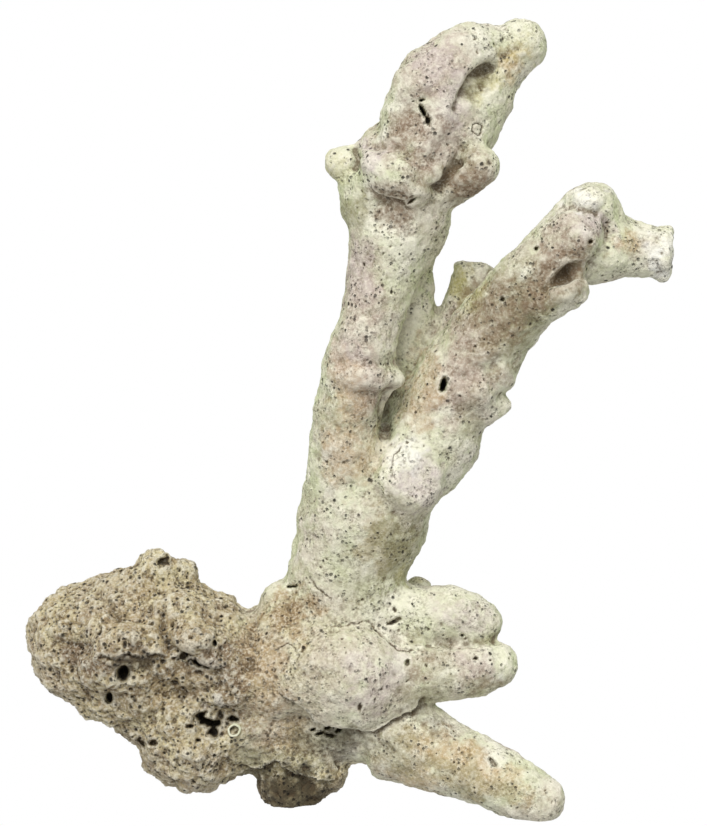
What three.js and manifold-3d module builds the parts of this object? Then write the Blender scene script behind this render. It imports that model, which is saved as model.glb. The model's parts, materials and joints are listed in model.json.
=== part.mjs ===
// A dead branching coral: a bored base rock and a crusted body, from which a trunk forks into
// thick fingers, some rounded where they grew and some flat where they broke off.
// Millimetres, +Z up, the side that shows best faces -Y. The origin is on the sawn underside of the foot.
import * as THREE from "three";
import { LoftGeometry } from "three/addons/geometries/LoftGeometry.js";
import { mergeVertices } from "three/addons/utils/BufferGeometryUtils.js";
import Module from "manifold-3d";

// Driving dimensions
const FORK_GAP = 0.3; // clear space between two pieces where they part at a fork
const RING_STEP = 9.5; // distance along a limb between its rings
const RING_SIDES = 12;
const KNOB_SIDES = 8; // rings of limbs thinner than KNOB_RADIUS
const KNOB_RADIUS = 10;
const TIP_RINGS = 3; // rings that close a rounded tip
const TIP_REACH = 0.85; // how far a rounded tip runs on, in radii
const BREAK_BEVEL = 0.12; // worn edge of a broken end, in radii
const FLAT_RIM = 0.16; // radius of the last ring of a rounded tip, in radii
const ROCK_LUMPS = 0.1; // height of the swellings, in radii
const BRANCH_LUMPS = 0.045;
const BELOW_GROUND = 60; // depth of the block that saws the underside flat
const FACET = 0.85; // detail finer than this goes before the cuts
const SLIVER = 0.03; // and after them

// Every limb is a round or oval bar along a line of [x, y, z, radius], from its root to its tip.
// depth is how thick it is from front to back against its width in the front view.
// end is round for a grown tip and broken for a flat break.
const LIMBS = [
  // base rock, left of the trunk
  { name: "rock bar", lumps: ROCK_LUMPS, depth: 1.25, line: [[-18, 5, 49, 20], [-32, 5, 54, 20.5], [-46, 6, 60, 23], [-62, 7, 62, 25], [-78, 8, 61, 24], [-88, 8, 61.5, 19.5]] },
  { name: "rock belly", lumps: ROCK_LUMPS, depth: 1.2, line: [[-14, 6, 33, 17], [-30, 6, 31, 19], [-43, 7, 30.5, 23.5], [-54, 8, 37, 21], [-62.5, 8, 40, 19]] },
  { name: "rock rear", lumps: ROCK_LUMPS, depth: 1.1, line: [[-52, 12, 40, 22], [-47, 21, 28, 18], [-44, 27, 23, 13]] },
  { name: "rock chin", lumps: ROCK_LUMPS, depth: 1.15, line: [[-53, 5, 27.5, 16], [-42, 4, 21, 17], [-34, 4, 21, 15.5], [-25, 4, 22.5, 13]] },
  { name: "rock cheek", lumps: ROCK_LUMPS, depth: 1.15, line: [[-54, 6, 44, 20], [-70, 6, 46, 19.5], [-80, 6, 51.5, 17.5], [-88, 6, 53, 16]] },
  { name: "rock left horn", lumps: ROCK_LUMPS, depth: 1.2, line: [[-66, 6, 76, 15], [-61, 4, 83, 11.5], [-57, 4, 90, 7.8]] },
  { name: "rock right horn", lumps: ROCK_LUMPS, depth: 1.2, line: [[-50, 6, 74, 13], [-48, 6, 84, 9], [-46, 5, 86.5, 6.5]] },
  { name: "rock shoulder", lumps: ROCK_LUMPS, depth: 1.2, line: [[-42, 4, 58, 15], [-35, 3, 66, 11], [-32, 3, 70.5, 8]] },
  { name: "rock brow", lumps: ROCK_LUMPS, depth: 1, line: [[-74, -10, 65, 8], [-63, -13, 65, 8], [-54, -11, 66, 7]] },
  { name: "rock knuckle", lumps: ROCK_LUMPS, depth: 1, line: [[-49, -14, 66, 9], [-40, -16, 64, 10], [-33, -14, 60, 8]] },
  // body, between the rock and the fingers
  { name: "body", lumps: ROCK_LUMPS, depth: 1.15, line: [[-26, 4, 50, 19], [-8, 3, 54, 23], [12, 2, 54, 24], [30, 0, 54, 19], [44, 0, 56, 13]] },
  { name: "body hump", lumps: ROCK_LUMPS, depth: 1.1, line: [[-4, 3, 58, 20], [-6, 3, 70, 14], [-8.5, 3, 77, 9.4]] },
  { name: "body sole", lumps: ROCK_LUMPS, depth: 1.2, line: [[-30, 6, 31, 16], [-18, 6, 29, 17], [-2, 6, 31, 17], [14, 3, 31.5, 15.6], [26, 0, 30, 15], [34, -3, 28, 14]] },
  { name: "crust plate", lumps: BRANCH_LUMPS, depth: 0.62, line: [[-2, -12, 54, 14], [10, -15, 52, 19], [24, -16, 51, 18], [36, -14, 50, 12]] },
  { name: "rear heel", lumps: ROCK_LUMPS, depth: 1, line: [[6, 10, 48, 22], [4, 21, 31, 18], [2, 30, 13, 12.6], [2, 33, 1, 10.5]] },
  { name: "rear bud", lumps: BRANCH_LUMPS, depth: 1, line: [[38, 8, 66, 9], [42, 12, 76, 7], [43, 14, 80, 5.5]] },
  // foot, where the coral was sawn off its reef
  { name: "foot", lumps: ROCK_LUMPS, depth: 1.1, line: [[-4, 4, 30, 17], [-5, 3.5, 14, 15], [-6.5, 1.5, 2, 11.8]] },
  { name: "foot ledge", lumps: ROCK_LUMPS, depth: 1, line: [[-6, -4, 20, 10], [4, -4, 15, 9.5], [8.5, -4, 12, 8.3]] },
  { name: "foot side", lumps: ROCK_LUMPS, depth: 1.2, line: [[-10, 4, 22, 12], [-17, 2, 15.5, 8.5]] },
  // fingers on the right of the body
  { name: "upper finger", lumps: BRANCH_LUMPS, depth: 1, line: [[28, 2, 70, 14], [44, -1, 72, 11.5], [56, -3, 72.5, 11], [64, -4, 71.3, 9.4], [68, -4, 70.5, 7.3]] },
  { name: "lower finger", lumps: BRANCH_LUMPS, depth: 1, line: [[28, -6, 54, 15], [44, -9, 53, 12.2], [58, -10, 53.3, 11.1], [69, -10, 55, 10.3], [73, -10, 55, 8]] },
  { name: "long finger", lumps: BRANCH_LUMPS, depth: 0.95, line: [[30, -3, 27, 17], [42, -8, 24.5, 16.3], [54, -13, 19.2, 13.5], [67, -18, 15.6, 12.8], [80, -23, 10.3, 11.4], [90, -26, 6.5, 8.6]] },
  // trunk
  { name: "trunk", lumps: BRANCH_LUMPS, depth: 0.85, line: [[13, 4, 58, 24], [14.5, 3, 80, 22], [17.5, 2, 97, 22.6], [22.5, 1, 110, 25], [25, 2, 119, 24.5]] },
  { name: "trunk stub", end: "broken", lumps: BRANCH_LUMPS, depth: 1, line: [[34, -1, 121, 17], [38, -10, 126, 14], [40.5, -17, 129.5, 12.5]] },
  { name: "rear stump", end: "broken", lumps: BRANCH_LUMPS, depth: 1, line: [[17, 8, 104, 14], [14, 22, 112, 11], [12, 32, 118, 10]] },
  // left branch, the front one of the pair that meets again under the crown
  { name: "left branch", lumps: BRANCH_LUMPS, depth: 1, line: [[14, 0, 108, 18], [14.5, -4, 130, 14.3], [16, -7, 148, 12.4], [19, -9, 163, 13.5], [21.8, -9, 178, 12.3], [26.3, -8, 191, 12.4], [29.5, -6, 203, 13.2], [32, -4, 216, 16]] },
  { name: "left branch knob", lumps: BRANCH_LUMPS, depth: 1, line: [[27, -11, 163, 7.5], [33, -12, 165, 4.2]] },
  // middle branch, behind the left one
  { name: "middle branch", lumps: BRANCH_LUMPS, depth: 1, line: [[42, 6, 126, 15], [38, 12, 145, 12.5], [38, 15, 162, 11.2], [39.3, 15, 181, 10.6], [38.6, 12, 195, 9.4], [38.5, 8, 208, 10.5], [40, 4, 222, 14]] },
  // right limb, its buds and what forks from it
  { name: "right limb", lumps: BRANCH_LUMPS, depth: 0.95, line: [[22, 2, 104, 17], [31.8, 2, 122, 17.2], [46.2, 3, 138.5, 18.8], [52, 2, 152, 16.5], [60.5, 1, 165, 16.2], [69, -1, 178, 15.3], [78.5, -4, 191, 15], [86.8, -6.5, 202.5, 14.1], [97, -8, 213.5, 12]] },
  { name: "right limb bud", lumps: BRANCH_LUMPS, depth: 1, line: [[62, -2, 152, 10], [70, -4, 153, 6.5], [75, -5, 153.5, 3.6]] },
  { name: "right limb boss", lumps: BRANCH_LUMPS, depth: 1, line: [[60, -6, 160, 10], [65, -12, 161, 6.5]] },
  { name: "back stub", end: "broken", lumps: BRANCH_LUMPS, depth: 1, line: [[55, 8, 166, 13], [59, 15, 182, 9.6], [62, 18, 193, 8.9], [64, 20, 202.6, 8.6]] },
  { name: "right branch end", end: "broken", lumps: BRANCH_LUMPS, depth: 1, line: [[88, -7, 204, 11], [97, -8, 213.5, 12.3], [105, -9, 221, 11.3]] },
  { name: "right branch crest", lumps: BRANCH_LUMPS, depth: 1, line: [[92, -5, 206, 11], [100, -3, 217, 12.3], [106.5, -1, 226.6, 10.8], [111, 1, 224, 9]] },
  { name: "right branch bud", lumps: BRANCH_LUMPS, depth: 1, line: [[86, -12, 193, 10], [95, -15, 196.5, 8], [101, -16, 198.5, 6]] },
  { name: "right tip", end: "broken", lumps: BRANCH_LUMPS, depth: 1, line: [[96, -2, 213, 13.5], [107, 1, 212.5, 14], [116, 3, 212, 12.6], [125, 4, 211, 10.4], [136, 4, 209.8, 10.9]] },
  // crown, two fused lobes with three nubs
  { name: "crown neck", lumps: BRANCH_LUMPS, depth: 0.9, line: [[32, -3, 204, 13.6], [33, -1, 213, 16.5], [34.8, -1, 222, 19.8], [34, -1, 234, 21.4], [38.2, -1, 246, 17.3]] },
  { name: "crown front lobe", lumps: BRANCH_LUMPS, depth: 0.9, line: [[39, -4, 236, 17], [42.6, -6, 250, 16.4], [46.4, -6, 264, 16.5], [49.6, -5, 274, 15.6], [55.6, -3, 281.2, 12.4]] },
  { name: "crown front ridge", lumps: BRANCH_LUMPS, depth: 1, line: [[54, -3, 276, 13], [60, 0, 285, 11.5], [69, 3, 287, 8.8]] },
  { name: "crown back lobe", lumps: BRANCH_LUMPS, depth: 1, line: [[45, 1, 238, 14], [53, 2, 250, 15], [62.5, 3, 266, 13.2], [71.8, 5, 279.5, 11.2], [81.2, 6.5, 288.5, 10.3]] },
  { name: "crown web", lumps: BRANCH_LUMPS, depth: 1, line: [[47, -2, 240, 14], [55, -2, 256, 14], [61, 0, 267, 12]] },
  { name: "crown brow", lumps: BRANCH_LUMPS, depth: 1, line: [[26, -8, 240, 10], [34, -13, 241, 10.5], [43, -12, 243, 10]] },
  { name: "crown left nub", lumps: BRANCH_LUMPS, depth: 1, line: [[25, -1, 240, 10], [17, -2, 243.5, 7.6], [12, -2, 245.6, 5.7]] },
  { name: "crown rear nub", end: "broken", lumps: BRANCH_LUMPS, depth: 1, line: [[30, 4, 240, 9], [25, 6, 244, 6.5], [23, 7, 246, 5.5]] },
  { name: "crown right nub", lumps: BRANCH_LUMPS, depth: 1, line: [[50, -6, 237, 11], [59, -11, 241.5, 8.6], [66, -14, 245, 7.5]] },
];

// Holes and pits, each a short tapered bore: mouth [x, y, z], the way in, mouth radius and depth.
const PITS = [
  { name: "date mussel hole", mouth: [-69, -25, 46], into: [0.1, 1, 0], radius: 2.6, depth: 22 },
  { name: "worm hole", mouth: [-74, -22, 37], into: [0, 1, 0.1], radius: 1.6, depth: 16 },
  { name: "rock cave", mouth: [-36, -28, 28], into: [0, 1, 0.15], radius: 4.6, depth: 17 },
  { name: "rock cleft", mouth: [-40, -32, 50], into: [0, 1, 0.2], radius: 3.6, depth: 16 },
  { name: "horn hole", mouth: [-54, -12, 91], into: [0.1, 1, 0], radius: 2.2, depth: 12 },
  { name: "rock dish", mouth: [-88, -18, 58], into: [0.1, 1, 0.1], radius: 5.5, depth: 9 },
  { name: "brow shadow", mouth: [-66, -30, 53], into: [0, 1, 0.3], radius: 5, depth: 14 },
  { name: "body cave", mouth: [9, -24, 24], into: [0, 1, 0.2], radius: 3.8, depth: 14 },
  { name: "crown fold", mouth: [45, -26, 262], into: [0.25, 1, 0], radius: 3.4, depth: 13 },
  { name: "crown window", mouth: [62, -15, 275], into: [0.15, 1, 0], radius: 4.2, depth: 15 },
  { name: "nub hollow", mouth: [55, -22, 245], into: [-0.3, 1, 0], radius: 3, depth: 12 },
  { name: "limb hole", mouth: [52, -18, 161], into: [0, 1, 0], radius: 1.7, depth: 13 },
  { name: "branch hollow", mouth: [97, -26, 204], into: [-0.1, 1, -0.1], radius: 3, depth: 13 },
];
const PIT_SIDES = 8;
const PIT_TAPER = 0.6; // inner radius against mouth radius

// Forks, from the tips inwards: what lies in the box is the piece, and the rest goes on to the next fork.
// base is the middle of the box's lower face, lean tilts its length towards +X, and turn swings it towards -Y.
const FORKS = [
  { piece: "crown_right_nub", base: [58, -13.5, 239.5], size: [20, 20, 30], lean: 64, turn: 10 },
  { piece: "crown_left_nub", base: [19, -2, 243.5], size: [20, 16, 30], lean: -72, turn: 0 },
  { piece: "right_tip", base: [114.5, 2, 212.5], size: [60, 60, 40], lean: 92, turn: 0 },
  { piece: "back_stub", base: [60, 16, 183], size: [21, 25, 50], lean: 16, turn: -14 },
  { piece: "right_branch", base: [72.7, 0, 176.9], size: [56, 60, 90], lean: 34, turn: 0 },
  { piece: "crown", base: [34, 0, 214], size: [90, 90, 110], lean: 14, turn: 0 },
  { piece: "left_branch", base: [14.5, -13, 140], size: [31, 43, 90], lean: 13, turn: 0 },
  { piece: "middle_branch", base: [42, 8, 175], size: [62, 60, 60], lean: -44, turn: 0 },
  { piece: "right_limb", base: [59, 4, 142], size: [66, 90, 70], lean: 0, turn: 0 },
  { piece: "trunk", base: [26, 4, 86.6], size: [90, 90, 80], lean: 3, turn: 0 },
  { piece: "upper_finger", base: [40, 0, 77], size: [29, 60, 60], lean: 90, turn: 0 },
  { piece: "lower_finger", base: [41, -8, 51], size: [23, 60, 60], lean: 90, turn: 0 },
  { piece: "long_finger", base: [42, -8, 24], size: [60, 60, 80], lean: 118, turn: 14 },
  { piece: "foot", base: [-3, 14, 15.5], size: [38, 80, 40], lean: 180, turn: 0 },
  { piece: "base_rock", base: [-22.5, 4, 46], size: [130, 120, 100], lean: -90, turn: 0 },
];
const LAST_PIECE = { piece: "base_body", base: [10, 0, 50] };

const FINISHES = {
  branch: { color: 0xcfc8b6, roughness: 0.92 },
  rock: { color: 0xc2b393, roughness: 0.96 },
};
const ROCK_PIECES = ["base_rock", "foot", "base_body"];

// The place of each named piece in the nested groups of the finished coral.
const GROUPS = {
  base: ["base_rock", "base_body", "foot", "upper_finger", "lower_finger", "long_finger"],
  limbs: ["trunk", "left_branch", "middle_branch", "right_limb", "back_stub", "right_branch", "right_tip"],
  top: ["crown", "crown_left_nub", "crown_right_nub"],
};

const wasm = await Module();
wasm.setup();

// Three crossed waves, 40 to 80 mm long: the swelling of the surface at a point, from -1 to 1.
function swelling({ x, y, z }) {
  const across = Math.sin(x / 7.3 + 1.3 * Math.sin(z / 11));
  const along = Math.sin(y / 6.1 + z / 9.7);
  const slanted = Math.sin(z / 8.2 - x / 12.5 + 1.7);
  return (across + along + slanted) / 3;
}

// The direction that a limb's depth is measured in: front to back, or upwards on a limb that points that way.
function depthDirection(line) {
  const [start, end] = [line[0], line[line.length - 1]].map(([x, y, z]) => new THREE.Vector3(x, y, z));
  const heading = end.sub(start).normalize();
  return Math.abs(heading.y) > 0.75 ? new THREE.Vector3(0, 0, 1) : new THREE.Vector3(0, 1, 0);
}

// One ring of a limb: an oval of the given radius, square to the line, swollen in places.
function ring(centre, tangent, radius, limb, sides) {
  const front = depthDirection(limb.line);
  const side = new THREE.Vector3().crossVectors(tangent, front).normalize();
  const rear = new THREE.Vector3().crossVectors(tangent, side).normalize();
  return Array.from({ length: sides }, (_, i) => {
    const angle = (2 * Math.PI * i) / sides;
    const arm = side.clone().multiplyScalar(Math.cos(angle));
    arm.addScaledVector(rear, limb.depth * Math.sin(angle)).multiplyScalar(radius);
    const swollen = 1 + limb.lumps * swelling(centre.clone().add(arm));
    return centre.clone().addScaledVector(arm, swollen);
  });
}

// A limb's surface: rings along a smooth line through its points, closed by a dome or a flat break.
function limbGeometry(limb) {
  const centres = new THREE.CatmullRomCurve3(limb.line.map(([x, y, z]) => new THREE.Vector3(x, y, z)), false, "catmullrom");
  const radii = new THREE.CatmullRomCurve3(limb.line.map(([, , , r]) => new THREE.Vector3(r, 0, 0)), false, "catmullrom");
  const steps = Math.max(2, Math.round(centres.getLength() / RING_STEP));
  const thickest = Math.max(...limb.line.map(([, , , r]) => r));
  const sides = thickest < KNOB_RADIUS ? KNOB_SIDES : RING_SIDES;
  const rings = [];
  for (let i = 0; i <= steps; i++) {
    const t = i / steps;
    rings.push(ring(centres.getPoint(t), centres.getTangent(t), radii.getPoint(t).x, limb, sides));
  }
  const end = centres.getPoint(1);
  const outwards = centres.getTangent(1);
  const radius = radii.getPoint(1).x;
  if (limb.end === "broken") {
    const face = end.clone().addScaledVector(outwards, BREAK_BEVEL * radius);
    rings.push(ring(face, outwards, (1 - BREAK_BEVEL) * radius, limb, sides));
  } else {
    for (let i = 1; i <= TIP_RINGS; i++) {
      const angle = (Math.acos(FLAT_RIM) * i) / TIP_RINGS;
      const at = end.clone().addScaledVector(outwards, TIP_REACH * radius * Math.sin(angle));
      rings.push(ring(at, outwards, radius * Math.cos(angle), limb, sides));
    }
  }
  return new LoftGeometry(rings, { capStart: true, capEnd: true });
}

// A closed geometry as a solid that can be joined and cut.
function solid(geometry) {
  const bare = new THREE.BufferGeometry().setIndex(geometry.index);
  bare.setAttribute("position", geometry.getAttribute("position"));
  const merged = mergeVertices(bare, 1e-4);
  const made = new wasm.Manifold(new wasm.Mesh({
    numProp: 3,
    vertProperties: merged.getAttribute("position").array,
    triVerts: new Uint32Array(merged.index.array),
  }));
  return made;
}

// A solid as a geometry about the given point, with flat faces.
function geometryOf(made, about) {
  const mesh = made.getMesh();
  const geometry = new THREE.BufferGeometry();
  geometry.setAttribute("position", new THREE.BufferAttribute(mesh.vertProperties, 3));
  geometry.setIndex(new THREE.BufferAttribute(mesh.triVerts, 1));
  geometry.translate(-about.x, -about.y, -about.z);
  geometry.computeVertexNormals();
  return geometry;
}

// A tapered bore with its mouth a little outside the surface.
function pitSolid({ mouth, into, radius, depth }) {
  const bore = new THREE.CylinderGeometry(radius * PIT_TAPER, radius, depth, PIT_SIDES);
  bore.translate(0, depth / 2, 0);
  const inwards = new THREE.Vector3(...into).normalize();
  bore.applyQuaternion(new THREE.Quaternion().setFromUnitVectors(new THREE.Vector3(0, 1, 0), inwards));
  bore.translate(...mouth);
  return solid(bore);
}

// The box on the far side of a fork; grown by margin on all sides but the far end.
function forkBox({ base, size, lean, turn }, margin) {
  const [width, thickness, length] = size;
  const box = new THREE.BoxGeometry(width + 2 * margin, thickness + 2 * margin, length + margin);
  box.translate(0, 0, (length - margin) / 2);
  box.rotateY(THREE.MathUtils.degToRad(lean));
  box.rotateZ(THREE.MathUtils.degToRad(-turn));
  box.translate(...base);
  return solid(box);
}

// The whole coral in one solid: limbs joined, pits cut, and the underside sawn flat at z = 0.
function wholeCoral() {
  let coral = LIMBS.map((limb) => solid(limbGeometry(limb))).reduce((a, b) => a.add(b));
  for (const pit of PITS) coral = coral.subtract(pitSolid(pit));
  const ground = new THREE.BoxGeometry(400, 400, BELOW_GROUND);
  ground.translate(0, 0, -BELOW_GROUND / 2);
  return coral.subtract(solid(ground)).simplify(FACET);
}

// The largest of a solid's separate bodies, without the chips that a cut can leave.
function mainBody(made) {
  const bodies = made.decompose();
  return bodies.reduce((a, b) => (b.volume() > a.volume() ? b : a));
}

function buildCoral() {
  const coral = new THREE.Group();
  coral.name = "coral";
  const groups = Object.fromEntries(Object.keys(GROUPS).map((name) => [name, new THREE.Group()]));
  const groupOf = (piece) => groups[Object.keys(GROUPS).find((name) => GROUPS[name].includes(piece))];
  coral.add(...Object.values(groups));

  const addPiece = ({ piece, base }, made) => {
    const finish = FINISHES[ROCK_PIECES.includes(piece) ? "rock" : "branch"];
    const about = new THREE.Vector3(...base);
    const mesh = new THREE.Mesh(geometryOf(made, about), new THREE.MeshStandardMaterial({ ...finish, metalness: 0 }));
    mesh.name = piece;
    mesh.position.copy(about);
    groupOf(piece).add(mesh);
  };

  let rest = wholeCoral();
  for (const fork of FORKS) {
    addPiece(fork, mainBody(rest.intersect(forkBox(fork, 0))).simplify(SLIVER));
    rest = rest.subtract(forkBox(fork, FORK_GAP));
  }
  addPiece(LAST_PIECE, mainBody(rest).simplify(SLIVER));
  return coral;
}

const coral = buildCoral();
export default coral;
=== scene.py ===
"""A dead branching coral: bored base rock, crusted body and forking fingers, with its stage.

The coral is grown as round bars along smooth lines, joined into one skin, softened at the forks and then
carved and coloured by fields worked out over all its points at once. Lengths are millimetres until a
mesh is made, and Blender's metres after that.
"""
import json

import bpy
import numpy as np
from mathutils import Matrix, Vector


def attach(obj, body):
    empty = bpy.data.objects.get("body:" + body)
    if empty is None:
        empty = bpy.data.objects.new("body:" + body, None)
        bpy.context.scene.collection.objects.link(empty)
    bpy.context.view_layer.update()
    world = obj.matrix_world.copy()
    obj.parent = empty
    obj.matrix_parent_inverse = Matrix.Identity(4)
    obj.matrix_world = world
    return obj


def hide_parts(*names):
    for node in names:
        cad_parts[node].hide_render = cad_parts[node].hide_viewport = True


bl_info = {
    "name": "Branching Coral",
    "version": (1, 0, 0),
    "blender": (4, 5, 0),
    "location": "View3D > Sidebar > Coral",
    "description": "Grows a dead branching coral on its bored base rock and sets its stage",
    "category": "Add Mesh",
}

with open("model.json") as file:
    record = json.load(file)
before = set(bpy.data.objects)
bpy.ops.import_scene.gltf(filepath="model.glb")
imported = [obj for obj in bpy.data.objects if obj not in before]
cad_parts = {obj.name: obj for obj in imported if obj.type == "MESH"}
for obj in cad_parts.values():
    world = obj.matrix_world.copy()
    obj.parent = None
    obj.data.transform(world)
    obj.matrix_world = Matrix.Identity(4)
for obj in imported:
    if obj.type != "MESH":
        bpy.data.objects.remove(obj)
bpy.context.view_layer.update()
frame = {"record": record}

MM = 0.001
ROCK_LUMPS = 0.1  # swelling of the limbs, in radii
BRANCH_LUMPS = 0.045
TIP_REACH = 0.85  # how far a rounded tip runs on, in radii
BREAK_BEVEL = 0.12  # bevel of a broken end, in radii
UPRIGHT = 0.75  # a limb that runs this much to front or back has its depth measured upwards
RING_STEP = 2.0  # distance between rings, before the skin is made
RING_SIDES = 36
TIP_RINGS = 7

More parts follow.
